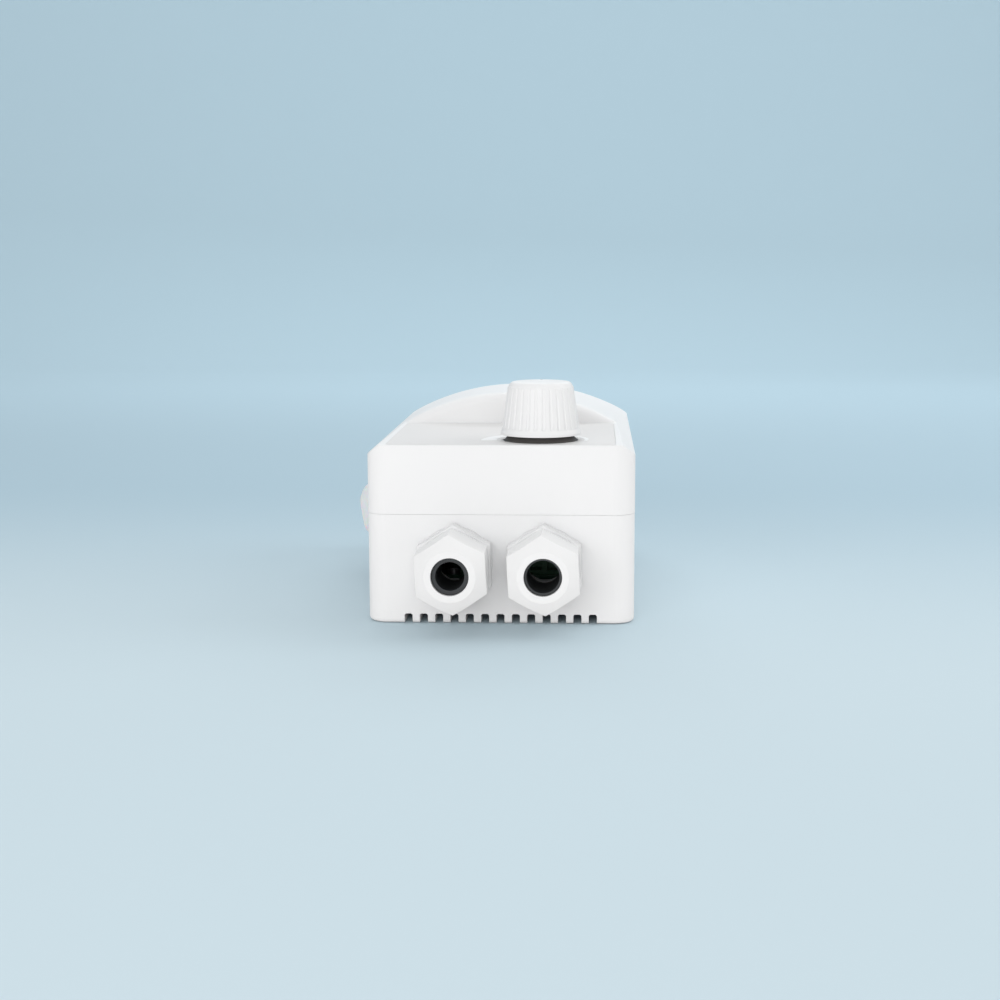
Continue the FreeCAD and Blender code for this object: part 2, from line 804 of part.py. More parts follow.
def make_front_cover():
    outside = arched_form("cover_outside", "0", COVER_BOTTOM)
    outside = rounded("cover_side_rounded", outside, "side_round", runs_along_side)
    above_panel = block("above_panel", "-case_width", "case_width", "-case_length", "case_length",
                        "panel_height", "crown_near + 10")
    low_part = minus("cover_low_part", outside, above_panel)
    low_part = rounded("cover_low_rounded", low_part, "panel_round", is_panel_front_edge)
    dome_side = "(case_width / 2 - dome_inset)"
    dome_room = block("dome_room", f"-{dome_side}", dome_side, PANEL_END, "case_length",
                      "0", "crown_near + 10")
    dome = shared("cover_dome", outside, dome_room)
    dome = rounded("cover_dome_rounded", dome, "dome_round", is_dome_front_arc)
    above_dome_foot = block("above_dome_foot", "-case_width", "case_width", "-case_length", "case_length",
                            "panel_height", "crown_near + 10")
    dome = shared("cover_dome_top", dome, above_dome_foot)
    shell = fused("cover_outer_form", low_part, dome)
    hollow = arched_form("cover_inside", "cover_wall", "(seam_height - 1)")
    panel_room = block("panel_room", "-case_width", "case_width", "-case_length", f"{PANEL_END} + cover_wall",
                       PANEL_UNDER, "crown_near + 10")
    shell = minus("cover_shell", shell, minus("cover_hollow", hollow, panel_room))
    wells = [rod(f"screw_well_{index}", "cover_well_radius", "crown_far - seam_height - seam_gap", x, y,
                 COVER_BOTTOM)
             for index, (x, y) in enumerate(SCREW_SPOTS)]
    wells = shared("screw_wells", fused("screw_well_rods", *wells), make_cover_block("well_trim"))
    whole = fused("cover_with_wells", shell, wells, *cover_hooks())
    bores = []
    for index, (x, y) in enumerate(SCREW_SPOTS):
        bores.append(rod(f"screw_bore_{index}", "cover_bore_radius", "crown_near", x, y, "0"))
        bores.append(rod(f"head_bore_{index}", "cover_head_bore", "crown_near", x, y, "cover_head_seat"))
    bores.append(rod("potentiometer_hole", "pot_hole_radius", "crown_near", "knob_x", "knob_y", COVER_BOTTOM))
    return node(minus("FrontCover", whole, label_room(), *bores), "front_cover")


def is_panel_front_edge(edge):
    near_wall = -number("case_length") / 2
    return lies_at(edge, "Z", number("panel_height")) and lies_at(edge, "Y", near_wall)


def is_dome_front_arc(edge):
    return lies_at(edge, "Y", number(PANEL_END)) and edge.BoundBox.ZMin > number("side_height") - 3


def make_cover_block(name):
    """The full arched form again, which trims the screw wells and their caps to the dome."""
    return arched_form(name, "0", COVER_BOTTOM)


def cover_hooks():
    """Two hooks under the near wall of the cover, each with a nose towards the wall."""
    pieces = []
    near = f"(hook_play - {INSIDE_Y})"
    low = "(seam_height - hook_drop)"
    for side in (-1, 1):
        tag = "left" if side < 0 else "right"
        left, right = f"{side} * hook_x - hook_width / 2", f"{side} * hook_x + hook_width / 2"
        pieces.append(block(f"hook_stem_{tag}", left, right, near, f"{near} + hook_thickness",
                            low, f"{COVER_BOTTOM} + hook_root"))
        pieces.append(block(f"hook_nose_{tag}", left, right, f"{near} - hook_nose", f"{near} + 0.5",
                            low, f"{low} + hook_nose_height"))
        pieces.append(block(f"hook_root_{tag}", left, right, "cover_wall / 2 - case_length / 2",
                            f"{near} + hook_thickness", f"{COVER_BOTTOM} + 1", f"{COVER_BOTTOM} + hook_root"))
    return pieces


def label_limits(inset):
    """Half width, near side and far side of the label, drawn in by an inset."""
    half_width = f"(case_width / 2 - label_side_margin - {inset})"
    near = f"(label_margin - case_length / 2 + {inset})"
    far = f"({PANEL_END} - label_margin - {inset})"
    return half_width, near, far


def label_plate(name, inset, bottom, height):
    body = new_body(name)
    half_width, near, far = label_limits(inset)
    outline = new_sketch(body, name + "_outline")
    rounded_rectangle(outline, f"-{half_width}", half_width, near, far, f"label_corner - {inset}")
    pad(body, outline, height)
    return place(body, z=bottom)


def label_room():
    return label_plate("label_pocket", "0", "panel_height - label_sunk", "5")


def make_label():
    plate = label_plate("LabelPlate", "label_play / 2", "panel_height - label_sunk", "label_thickness")
    hole = rod("label_hole", "seal_foot_radius + label_play", "10", "knob_x", "knob_y", "panel_height - 5")
    return node(minus("DialLabel", plate, hole), "dial_label")


def make_gasket():
    body = new_body("CoverGasket")
    ring = new_sketch(body, "gasket_ring")
    for inset in ("(base_wall - gasket_width) / 2", "(base_wall + gasket_width) / 2"):
        half_x, half_y = f"({BASE_X} - {inset})", f"({BASE_Y} - {inset})"
        rounded_rectangle(ring, f"-{half_x}", half_x, f"-{half_y}", half_y, f"{BASE_CORNER} - {inset}")
    pad(body, ring, "groove_depth + seam_gap")
    place(body, z="seam_height - groove_depth")
    return node(body, "cover_gasket")


def make_cover_caps():
    """Two plugs that close the screw wells flush with the dome."""
    rods = [rod(f"cover_cap_rod_{index}", "cover_head_bore - cover_cap_play", "crown_near", x, y,
                "side_height - cover_cap_depth") for index, (x, y) in enumerate(SCREW_SPOTS)]
    caps = [shared(f"cover_cap_{index}", one, make_cover_block(f"cap_trim_{index}"))
            for index, one in enumerate(rods)]
    return node(group("CoverCaps", caps), "cover_caps")


def screw_shape(name, x, y, seat, radius, length, head_radius, head_height):
    """A pan-head screw with a cross recess, its head resting at the seat's level."""
    shank = rod(name + "_shank", radius, f"{length} + {head_height} / 2", x, y, f"{seat} - {length}")
    head = rod(name + "_head", head_radius, head_height, x, y, seat)
    slots = []
    for tag, half_x, half_y in (("a", f"{head_radius} * 0.6", "0.4"), ("b", "0.4", f"{head_radius} * 0.6")):
        slots.append(block(f"{name}_slot_{tag}", f"{x} - {half_x}", f"{x} + {half_x}", f"{y} - {half_y}",
                           f"{y} + {half_y}", f"{seat} + {head_height} * 0.45", f"{seat} + {head_height} + 1"))
    return minus(name, fused(name + "_blank", shank, head), *slots)


def make_cover_screws():
    screws = [screw_shape(f"cover_screw_{index}", x, y, "cover_head_seat", "cover_pilot_radius",
                          "cover_screw_length", "cover_screw_head", "cover_screw_head_height")
              for index, (x, y) in enumerate(SCREW_SPOTS)]
    return node(group("CoverScrews", screws), "cover_screws")


# Cable glands, each built along its own axis with zero at the housing's wall

def gland_place(body, x, turn="0", out="0"):
    rotation = TO_FRONT.multiply(FreeCAD.Rotation(Z_AXIS, number(turn)))
    return place(body, x, f"-({BASE_Y}) - ({out})", "gland_height", rotation)


def hex_body(name, across, low, high):
    body = new_body(name)
    outline = hexagon(new_sketch(body, name + "_hexagon", "XY_Plane", low), across)
    pad(body, outline, f"({high}) - ({low})")
    return body


def cut_round(body, name, radius, low, high):
    """A round hole along the body's axis between two levels."""
    sketch = circle(new_sketch(body, name, "XY_Plane", low), "0", "0", radius)
    return pocket(body, sketch, f"({high}) - ({low})", along_normal=True)


def chamfer_ends(body, name, across, low, high, ends):
    """Turn the corners of a hexagon down at one end or both, as a lathe does."""
    reach = f"({across} / sqrt(3) + 1)"
    edge = f"({across} / 2 + 0.4)"
    for end in ends:
        level, inward = (high, "-1") if end == "high" else (low, "1")
        slope = f"({reach} - {edge}) * 0.5 * ({inward})"
        beyond = f"({level}) - ({inward}) * 0.5"
        corners = [(edge, level), (reach, f"({level}) + {slope}"), (reach, beyond), (edge, beyond)]
        sketch = polygon(new_sketch(body, f"{name}_{end}", "XZ_Plane"), corners)
        revolve(body, sketch, "PartDesign::Groove")


def make_gland_body(side, x):
    name = f"GlandBody_{side}"
    low = "gland_washer_thickness"
    high = "(gland_washer_thickness + gland_hex_height)"
    body = hex_body(name, "gland_hex_across", low, high)
    chamfer_ends(body, name + "_chamfer", "gland_hex_across", low, high, ("high",))
    shank = circle(new_sketch(body, name + "_shank", "XY_Plane", "-gland_inner_length"), "0", "0",
                   "gland_thread_radius")
    pad(body, shank, f"gland_inner_length + {high}")
    neck = circle(new_sketch(body, name + "_neck", "XY_Plane", low), "0", "0", "gland_neck_radius")
    pad(body, neck, f"gland_neck_reach - {low}")
    cut_round(body, name + "_bore", "gland_bore_radius", "-gland_inner_length - 1", "gland_neck_reach + 1")
    return node(gland_place(body, x, "body_turn"), f"{side}_gland_body")


def make_gland_washer(side, x):
    outline = [("gland_thread_radius + washer_play", "0"), ("gland_washer_radius", "0"),
               ("gland_washer_radius", "gland_washer_thickness"),
               ("gland_thread_radius + washer_play", "gland_washer_thickness")]
    return node(gland_place(turned(f"GlandWasher_{side}", outline), x), f"{side}_gland_washer")


def make_locknut(side, x):
    name = f"GlandLocknut_{side}"
    low, high = "(-base_wall - locknut_height)", "(-base_wall)"
    body = hex_body(name, "locknut_across", low, high)
    chamfer_ends(body, name + "_chamfer", "locknut_across", low, high, ("low",))
    cut_round(body, name + "_bore", "gland_thread_radius", f"{low} - 1", f"{high} + 1")
    return node(gland_place(body, x, "locknut_turn"), f"{side}_gland_locknut")


def make_gland_nut(side, x):
    """The dome nut: a hexagon turned to a cone at its mouth, hollow behind a thin lip."""
    name = f"GlandNut_{side}"
    low = "(gland_washer_thickness + gland_hex_height + nut_gap)"
    body = hex_body(name, "nut_across", low, "nut_end")
    chamfer_ends(body, name + "_chamfer", "nut_across", low, "nut_end", ("low",))
    corner = "(nut_across / sqrt(3))"
    cone = [(corner, "nut_shoulder"), ("nut_across / 2", "nut_shoulder + 1.8"), ("nut_rim_radius", "nut_end"),
            (f"{corner} + 2", "nut_end + 1"), (f"{corner} + 2", "nut_shoulder")]
    revolve(body, polygon(new_sketch(body, name + "_cone", "XZ_Plane"), cone), "PartDesign::Groove")
    cut_round(body, name + "_bore", "gland_neck_radius + nut_play", f"{low} - 1", "gland_neck_reach + 0.6")
    throat = [("0", "gland_neck_reach"), ("gland_neck_radius + nut_play", "gland_neck_reach"),
              ("gland_neck_radius + nut_play", "gland_neck_reach + 0.6"),
              ("nut_mouth_radius", "nut_end - nut_lip"), ("nut_mouth_radius", "nut_end + 1"),
              ("0", "nut_end + 1")]
    revolve(body, polygon(new_sketch(body, name + "_throat", "XZ_Plane"), throat), "PartDesign::Groove")
    return node(gland_place(body, x, "nut_turn"), f"{side}_gland_nut")


def make_gland_seal(side, x):
    """The rubber insert, squeezed to a smaller bore at the mouth."""
    bore = f"seal_bore_{side}"
    tip = "(nut_end - nut_lip - 0.4)"
    outline = [(f"{bore} + 1", "seal_start"), ("gland_bore_radius", "seal_start"),
               ("gland_bore_radius", "gland_neck_reach + 0.6"),
               ("nut_mouth_radius + 1.1", "gland_neck_reach + 2.6"),
               ("nut_mouth_radius - 0.1", tip), (bore, tip), (bore, "seal_start + 4")]
    return node(gland_place(turned(f"GlandSeal_{side}", outline), x), f"{side}_gland_seal")


# Knob and potentiometer, built on the knob's axis with zero at the panel

def make_knob():
    body = new_body("SpeedKnob")
    bottom, top = "knob_gap", "(knob_gap + knob_height)"
    grip_low = f"({bottom} + skirt_height)"
    round_low = f"({top} - knob_round)"
    tilt = f"((grip_radius - grip_top_radius) / (knob_height - skirt_height))"
    inner_low = "(skirt_radius - knob_wall)"
    inner_high = "(grip_top_radius - knob_wall)"
    roof = f"({top} - knob_roof)"
    outline = [(inner_low, bottom), ("skirt_radius", bottom), ("skirt_radius", f"{bottom} + skirt_edge"),
               ("grip_radius", grip_low), (f"grip_top_radius + knob_round * {tilt}", round_low)]
    for step in range(1, 6):
        angle = 90 * step / 6
        outline.append((f"grip_top_radius - knob_round * (1 - {math.cos(math.radians(angle)):.4f})",
                        f"{round_low} + knob_round * {math.sin(math.radians(angle)):.4f}"))
    outline += [("grip_top_radius - knob_round", top), ("0", f"{top} + knob_crown"), ("0", roof),
                ("shaft_radius", roof), ("shaft_radius", f"{bottom} + 5"), ("hub_radius", f"{bottom} + 5"),
                ("hub_radius", roof), (inner_high, roof), (inner_low, f"{grip_low} + 1")]
    revolve(body, polygon(new_sketch(body, "knob_outline", "XZ_Plane"), outline))
    flute = body.newObject("PartDesign::SubtractiveCylinder", "flute")
    flute.setExpression("Radius", bound("flute_radius"))
    flute.setExpression("Height", bound("knob_height"))
    narrowing = "(grip_radius - flute_depth) - (grip_top_radius - flute_top_depth)"
    lean = math.degrees(math.atan(number(f"({narrowing}) / (knob_height - skirt_height)")))
    reach = "grip_radius + flute_radius - flute_depth"
    place(flute, reach, "0", f"{grip_low} + 0.3", FreeCAD.Rotation(Y_AXIS, -lean))
    doc.recompute()
    flutes = body.newObject("PartDesign::PolarPattern", "flutes")
    flutes.Originals = [flute]
    flutes.Axis = (body.Origin.OriginFeatures[2], [""])
    flutes.Angle = 360
    flutes.setExpression("Occurrences", bound("flute_count"))
    body.Tip = flutes
    doc.recompute()
    pointer = body.newObject("PartDesign::SubtractiveBox", "pointer_groove")
    pointer.setExpression("Length", bound("pointer_width"))
    pointer.setExpression("Width", bound("pointer_length"))
    pointer.setExpression("Height", bound("pointer_depth + knob_crown + 1"))
    place(pointer, "-pointer_width / 2", "grip_top_radius - knob_round - pointer_margin - pointer_length",
          f"{top} - pointer_depth")
    doc.recompute()
    grub = circle(new_sketch(body, "grub_hole", "XZ_Plane"), "0", f"{bottom} + grub_rise", "grub_radius")
    pocket(body, grub, "skirt_radius + 2")
    return node(place(body, "knob_x", "knob_y", "panel_height"), "speed_knob")


def make_grub_screw():
    screw = rod("grub_blank", "grub_radius", "grub_length", "knob_x", "knob_y + shaft_radius + grub_length",
                f"{KNOB_BOTTOM} + grub_rise", TO_FRONT)
    slot = block("grub_slot", "knob_x - grub_radius", "knob_x + grub_radius",
                 "knob_y + shaft_radius + grub_length - 0.8", "knob_y + shaft_radius + grub_length + 1",
                 f"{KNOB_BOTTOM} + grub_rise - 0.25", f"{KNOB_BOTTOM} + grub_rise + 0.25")
    return node(minus("KnobGrubScrew", screw, slot), "knob_grub_screw")


def make_knob_seal():
    outline = [("seal_ring_inner", "0"), ("seal_foot_radius", "0"), ("seal_foot_radius", "seal_foot_height"),
               ("seal_top_radius", "seal_ring_height"), ("seal_ring_inner", "seal_ring_height")]
    ring = turned("KnobSeal", outline, UPRIGHT, "knob_x", "knob_y", "panel_height - label_sunk")
    return node(ring, "knob_seal")


def make_potentiometer():
    """Body with its bushing, three lugs and the round space that the shaft turns in."""
    body_low = f"{POT_TOP} - pot_depth"
    can = rod("pot_can", "pot_radius", "pot_depth", "knob_x", "knob_y", body_low)
    bushing = rod("pot_bushing", "bushing_radius", "bushing_length + 1", "knob_x", "knob_y", f"{POT_TOP} - 1")
    lugs = []
    for index in (-1, 0, 1):
        middle = f"knob_x + {index} * pot_lug_pitch"
        lugs.append(block(f"pot_lug_{index + 1}",
                          f"{middle} - pot_lug_width / 2", f"{middle} + pot_lug_width / 2",
                          "knob_y + pot_radius * 0.8", "knob_y + pot_radius + pot_lug_length",
                          f"{body_low} + 2", f"{body_low} + 2 + pot_lug_thickness"))
    bore = rod("pot_bore", "shaft_radius + shaft_play", "40", "knob_x", "knob_y", f"{POT_TOP} - shaft_depth")
    solid = fused("pot_solid", can, bushing, *lugs)
    return node(minus("PotentiometerBody", solid, bore), "potentiometer_body")


def make_potentiometer_shaft():
    low = f"({POT_TOP} - shaft_depth + 0.2)"
    high = f"({KNOB_BOTTOM} + knob_height - knob_roof)"
    shaft = rod("shaft_round", "shaft_radius", f"{high} - {low}", "knob_x", "knob_y", low)
    flat = block("shaft_flat_cut", "knob_x - shaft_radius", "knob_x + shaft_radius",
                 "knob_y - shaft_radius - 1", "knob_y - shaft_radius + shaft_flat",
                 f"{KNOB_BOTTOM} + 6", f"{high} + 1")
    return node(minus("PotentiometerShaft", shaft, flat), "potentiometer_shaft")


def make_potentiometer_washer():
    outline = [("bushing_radius + 0.1", "0"), ("pot_washer_radius", "0"),
               ("pot_washer_radius", "pot_washer_thickness"),
               ("bushing_radius + 0.1", "pot_washer_thickness")]
    washer = turned("PotentiometerWasher", outline, UPRIGHT, "knob_x", "knob_y", "panel_height - label_sunk")
    return node(washer, "potentiometer_washer")


def make_potentiometer_nut():
    seat = "panel_height - label_sunk + pot_washer_thickness"
    nut = prism("pot_nut_blank", "pot_nut_across", "pot_nut_height", "knob_x", "knob_y", seat)
    hole = rod("pot_nut_hole", "bushing_radius", "20", "knob_x", "knob_y", "panel_height - 10")
    return node(minus("PotentiometerNut", nut, hole), "potentiometer_nut")


# Side switch, built with its height along X, its width along Y and zero at the housing's left wall

def switch_place(thing):
    return place(thing, f"-({BASE_X})", "switch_y", "switch_z", TO_LEFT)


def make_switch_body():
    body = new_body("SideSwitchBody")
    half_height = "(switch_cutout_height / 2 - switch_play)"
    half_width = "(switch_cutout_width / 2 - switch_play)"
    bezel = new_sketch(body, "switch_bezel_outline")
    rounded_rectangle(bezel, "-switch_bezel_height / 2", "switch_bezel_height / 2", "-switch_bezel_width / 2",
                      "switch_bezel_width / 2", "switch_corner")
    pad(body, bezel, "switch_bezel")
    shell = new_sketch(body, "switch_shell_outline", "XY_Plane", "-switch_depth")
    rectangle(shell, f"-{half_height}", half_height, f"-{half_width}", half_width)
    pad(body, shell, "switch_depth + switch_bezel / 2")
    well = new_sketch(body, "switch_well_outline", "XY_Plane", "-switch_well")
    rectangle(well, f"switch_shell - {half_height}", f"{half_height} - switch_shell",
              f"switch_shell - {half_width}", f"{half_width} - switch_shell")
    pocket(body, well, "switch_well + switch_bezel + 1", along_normal=True)
    pin_hole = circle(new_sketch(body, "switch_pin_hole", "XZ_Plane"), "0", "rocker_pivot",
                      "rocker_pin_radius + 0.05")
    pocket(body, pin_hole, "switch_cutout_width - 2 * switch_play - 1", both_ways=True)
    return node(switch_place(body), "side_switch_body")


def make_rocker():
    """A paddle that tilts on its pin, with one end raised at rest."""
    body = new_body("SideSwitchRocker")
    half = "(rocker_length / 2)"
    side = new_sketch(body, "rocker_side", "XZ_Plane")
    polygon(side, [(f"1 - {half}", "-rocker_low"), (f"{half} - 1", "-rocker_low"), (half, "0"),
                   (half, "rocker_tip - 1"), (f"{half} - 1", "rocker_tip"), ("0", "rocker_waist"),
                   (f"1 - {half}", "rocker_tip"), (f"-{half}", "rocker_tip - 1"), (f"-{half}", "0")])
    pad(body, side, "rocker_width", both_ways=True)
    pin = circle(new_sketch(body, "rocker_pin", "XZ_Plane"), "0", "0", "rocker_pin_radius")
    pad(body, pin, "switch_cutout_width - 2 * switch_play - 1.2", both_ways=True)
    tilt = FreeCAD.Rotation(Y_AXIS, -number("rocker_tilt"))
    place(body, f"-({BASE_X}) - rocker_pivot", "switch_y", "switch_z", TO_LEFT.multiply(tilt))
    return node(body, "side_switch_rocker")


def boot_side(sketch, inset, low):
    """The boot's side view, with its raised end up, drawn in by an inset."""
    half = f"(boot_height / 2 - {inset})"
    polygon(sketch, [(f"-{half}", low), (half, low), (half, f"boot_shoulder - {inset}"),
                     ("boot_peak_rise + boot_peak_length", f"boot_peak - boot_peak_drop - {inset}"),
                     ("boot_peak_rise", f"boot_peak - {inset}"), ("-boot_low_drop", f"boot_low - {inset}"),
                     (f"-{half}", f"boot_shoulder - {inset}")])


def make_boot():
    body = new_body("SideSwitchBoot")
    outer = new_sketch(body, "boot_side_outline", "XZ_Plane")
    boot_side(outer, "0", "switch_bezel")
    pad(body, outer, "boot_width - 2 * boot_step", both_ways=True)
    round_edges(body, "boot_rounding", "boot_round",
                lambda edge: edge.BoundBox.ZMin > number("boot_flange") + 1)
    flange = new_sketch(body, "boot_flange_outline", "XY_Plane", "switch_bezel")
    rounded_rectangle(flange, "-switch_bezel_height / 2", "switch_bezel_height / 2", "-boot_width / 2",
                      "boot_width / 2", "switch_corner")
    pad(body, flange, "boot_flange")
    inner = new_sketch(body, "boot_inside_outline", "XZ_Plane")
    boot_side(inner, "boot_wall", "switch_bezel - 1")
    pocket(body, inner, "boot_width - 2 * boot_step - 2 * boot_end_wall", both_ways=True)
    return node(switch_place(body), "side_switch_boot")


def make_switch_terminals():
    blades = []
    for across in (-1, 1):
        for along in (-1, 1):
            x_high = f"-({BASE_X}) + switch_depth + blade_length"
            middle_y = f"switch_y + {across} * blade_spread"
            middle_z = f"switch_z + {along} * blade_rise"
            tag = f"{(across + 1) // 2}{(along + 1) // 2}"
            blades.append(block(f"switch_blade_{tag}", f"-({BASE_X}) + switch_depth", x_high,
                                f"{middle_y} - blade_thickness / 2", f"{middle_y} + blade_thickness / 2",
                                f"{middle_z} - blade_width / 2", f"{middle_z} + blade_width / 2"))
    return node(group("SideSwitchTerminals", blades), "side_switch_terminals")


# Circuit board and what it carries

def make_board():
    board = block("board_blank", "board_left", "board_right", "board_near", "board_far",
                  "board_level", BOARD_TOP)
    holes = [rod(f"board_hole_{index}", "board_hole", "20", x, y, "board_level - 5")
             for index, (x, y) in enumerate(BOARD_SPOTS)]
    return node(minus("CircuitBoard", board, *holes), "circuit_board")


def make_board_screws():
    screws = [screw_shape(f"board_screw_{index}", x, y, BOARD_TOP, "board_screw_radius", "board_screw_length",
                          "board_screw_head", "board_screw_head_height")
              for index, (x, y) in enumerate(BOARD_SPOTS)]
    return node(group("BoardScrews", screws), "board_screws")


TERMINAL_MOUTH_TOP = f"({BOARD_TOP} + terminal_floor + terminal_mouth)"


def terminal_middles():
    start = "(terminal_x - (terminal_count - 1) / 2 * terminal_pitch)"
    return [f"({start} + {index} * terminal_pitch)" for index in range(round(number("terminal_count")))]


def make_terminal_block():
    near = "(board_near + terminal_inset)"
    half = "(terminal_count * terminal_pitch / 2)"
    blank = block("terminal_blank", f"terminal_x - {half}", f"terminal_x + {half}",
                  near, f"{near} + terminal_depth", BOARD_TOP, f"{BOARD_TOP} + terminal_height")
    cuts = []
    for index, middle in enumerate(terminal_middles()):
        cuts.append(block(f"terminal_mouth_{index}", f"{middle} - terminal_mouth / 2",
                          f"{middle} + terminal_mouth / 2", f"{near} - 1", f"{near} + terminal_mouth_depth",
                          f"{BOARD_TOP} + terminal_floor", TERMINAL_MOUTH_TOP))
        cuts.append(rod(f"terminal_well_{index}", "terminal_screw_radius", "terminal_height", middle,
                        f"{near} + terminal_depth / 2", f"{TERMINAL_MOUTH_TOP} - 1"))
    return node(minus("TerminalBlock", blank, *cuts), "terminal_block")


def make_terminal_screws():
    """Clamp screws standing on the floor of each wire mouth, open position."""
    screws = []
    for index, middle in enumerate(terminal_middles()):
        y = "(board_near + terminal_inset + terminal_depth / 2)"
        low = f"({TERMINAL_MOUTH_TOP} - 1)"
        blank = rod(f"terminal_screw_blank_{index}", "terminal_screw_radius", "terminal_screw_length",
                    middle, y, low)
        slot = block(f"terminal_slot_{index}", f"{middle} - terminal_mouth", f"{middle} + terminal_mouth",
                     f"{y} - terminal_slot / 2", f"{y} + terminal_slot / 2",
                     f"{low} + terminal_screw_length - 1", f"{low} + terminal_screw_length + 1")
        screws.append(minus(f"terminal_screw_{index}", blank, slot))
    return node(group("TerminalScrews", screws), "terminal_screws")


FUSE_AXIS = f"({BOARD_TOP} + fuse_level)"


def make_fuse():
    """A glass link with a metal cap at each end, lying along Y."""
    tube = rod("fuse_tube", "fuse_radius * 0.9", "fuse_length", "fuse_x", "fuse_y + fuse_length / 2",
               FUSE_AXIS, TO_FRONT)
    caps = [rod(f"fuse_cap_{index}", "fuse_radius", "fuse_cap", "fuse_x", y, FUSE_AXIS, TO_FRONT)
            for index, y in enumerate(("fuse_y + fuse_length / 2", "fuse_y - fuse_length / 2 + fuse_cap"))]
    return node(fused("FuseLink", tube, *caps), "fuse_link")


def make_fuse_holder():
    clips = []
    for side in (-1, 1):
        middle = f"fuse_y + {side} * (fuse_length - fuse_cap) / 2"
        tag = "near" if side < 0 else "far"
        blank = block(f"clip_blank_{tag}", "fuse_x - clip_width / 2", "fuse_x + clip_width / 2",
                      f"{middle} - clip_length / 2", f"{middle} + clip_length / 2", BOARD_TOP,
                      f"{FUSE_AXIS} + fuse_radius * 0.7")
        bed = rod(f"clip_bed_{tag}", "fuse_radius + clip_play", "clip_length + 2", "fuse_x",
                  f"{middle} + clip_length / 2 + 1", FUSE_AXIS, TO_FRONT)
        mouth = block(f"clip_mouth_{tag}", "fuse_x - fuse_radius * 0.8", "fuse_x + fuse_radius * 0.8",
                      f"{middle} - clip_length", f"{middle} + clip_length", FUSE_AXIS, f"{FUSE_AXIS} + 10")
        clips.append(minus(f"fuse_clip_{tag}", blank, bed, mouth))
    return node(group("FuseHolder", clips), "fuse_holder")


def ring(name, outer, inner, low, high):
    outline = [(inner, low), (outer, low), (outer, high), (inner, high)]
    return turned(name, outline, UPRIGHT, "choke_x", "choke_y", BOARD_TOP)


def make_choke():
    """A ring core in its insulating winding; the winding is one closed ring round it."""
    winding = ring("choke_wrap", "choke_radius", "choke_inner", "0", "choke_height")
    cavity = ring("choke_room", "choke_radius - choke_core", "choke_inner + choke_core", "choke_core",
                  "choke_height - choke_core")
    core = ring("ChokeCore", "choke_radius - choke_core", "choke_inner + choke_core", "choke_core",
                "choke_height - choke_core")
    node(minus("ChokeWinding", winding, cavity), "choke_winding")
    return node(core, "choke_core")


def make_capacitors():
    filter_box = block("FilterCapacitor", "filter_x - filter_length / 2", "filter_x + filter_length / 2",
                       "filter_y - filter_width / 2", "filter_y + filter_width / 2", BOARD_TOP,
                       f"{BOARD_TOP} + filter_height")
    node(filter_box, "filter_capacitor")
    small = []
    for index in range(2):
        middle = f"(cap_y + {index} * cap_spacing)"
        small.append(block(f"small_capacitor_{index}", "cap_x - cap_length / 2", "cap_x + cap_length / 2",
                           f"{middle} - cap_width / 2", f"{middle} + cap_width / 2", BOARD_TOP,
                           f"{BOARD_TOP} + cap_height"))
    return node(group("TimingCapacitors", small), "timing_capacitors")


def make_resistors():
    """Axial resistors in a row, each lying on the board between two soldered joints."""
    resistors = []
    level = f"({BOARD_TOP} + resistor_radius)"
    for index in range(round(number("resistor_count"))):
        y = f"(resistor_y + {index} * resistor_pitch)"
        along_x = FreeCAD.Rotation(Y_AXIS, 90)
        barrel = rod(f"resistor_barrel_{index}", "resistor_radius", "resistor_length",
                     "resistor_x - resistor_length / 2", y, level, along_x)
        wire = rod(f"resistor_wire_{index}", "resistor_wire", "resistor_span",
                   "resistor_x - resistor_span / 2", y, level, along_x)
        legs = [rod(f"resistor_joint_{index}_{end}", "resistor_joint", "resistor_radius + resistor_joint",
                    f"resistor_x + {side} * resistor_span / 2", y, BOARD_TOP)
                for end, side in enumerate((-1, 1))]
        resistors.append(fused(f"resistor_{index}", barrel, wire, *legs))
    return node(group("Resistors", resistors), "resistors")


def make_trimmer():
    """A square trimmer whose slotted dial is turned with a screwdriver."""
    half = "trimmer_side / 2"
    blank = block("trimmer_blank", f"trimmer_x - {half}", f"trimmer_x + {half}", f"trimmer_y - {half}",
                  f"trimmer_y + {half}", BOARD_TOP, f"{BOARD_TOP} + trimmer_height")
    floor = f"{BOARD_TOP} + trimmer_height - trimmer_dial_depth"
    room = rod("trimmer_room", "trimmer_dial + trimmer_play", "20", "trimmer_x", "trimmer_y", floor)
    node(minus("TrimmerBody", blank, room), "trimmer_body")
    dial = rod("trimmer_dial_blank", "trimmer_dial", "trimmer_dial_depth + trimmer_dial_proud - trimmer_lift",
               "trimmer_x", "trimmer_y", f"{floor} + trimmer_lift")
    top = f"{floor} + trimmer_dial_depth + trimmer_dial_proud"
    slot = block("trimmer_slot", "trimmer_x - trimmer_dial * 0.8", "trimmer_x + trimmer_dial * 0.8",
                 "trimmer_y - trimmer_slot_width / 2", "trimmer_y + trimmer_slot_width / 2",
                 f"{top} - trimmer_slot_depth", f"{top} + 1")
    return node(minus("TrimmerDial", dial, slot), "trimmer_dial")


# Heat sink and triac

def make_heat_sink():
    plate = block("sink_plate_blank", "-sink_half_width", "sink_half_width", "sink_near", "sink_far",
                  "sink_level", SINK_TOP)
    holes = [rod(f"sink_hole_{index}", "sink_hole_radius", "30", x, y, "sink_level - 10")
             for index, (x, y) in enumerate(SINK_SPOTS)]
    holes.append(rod("sink_triac_hole", "triac_screw_radius", "30", "triac_x", TRIAC_HOLE_Y,
                     "sink_level - 10"))
    return node(minus("HeatSink", plate, *holes), "heat_sink")


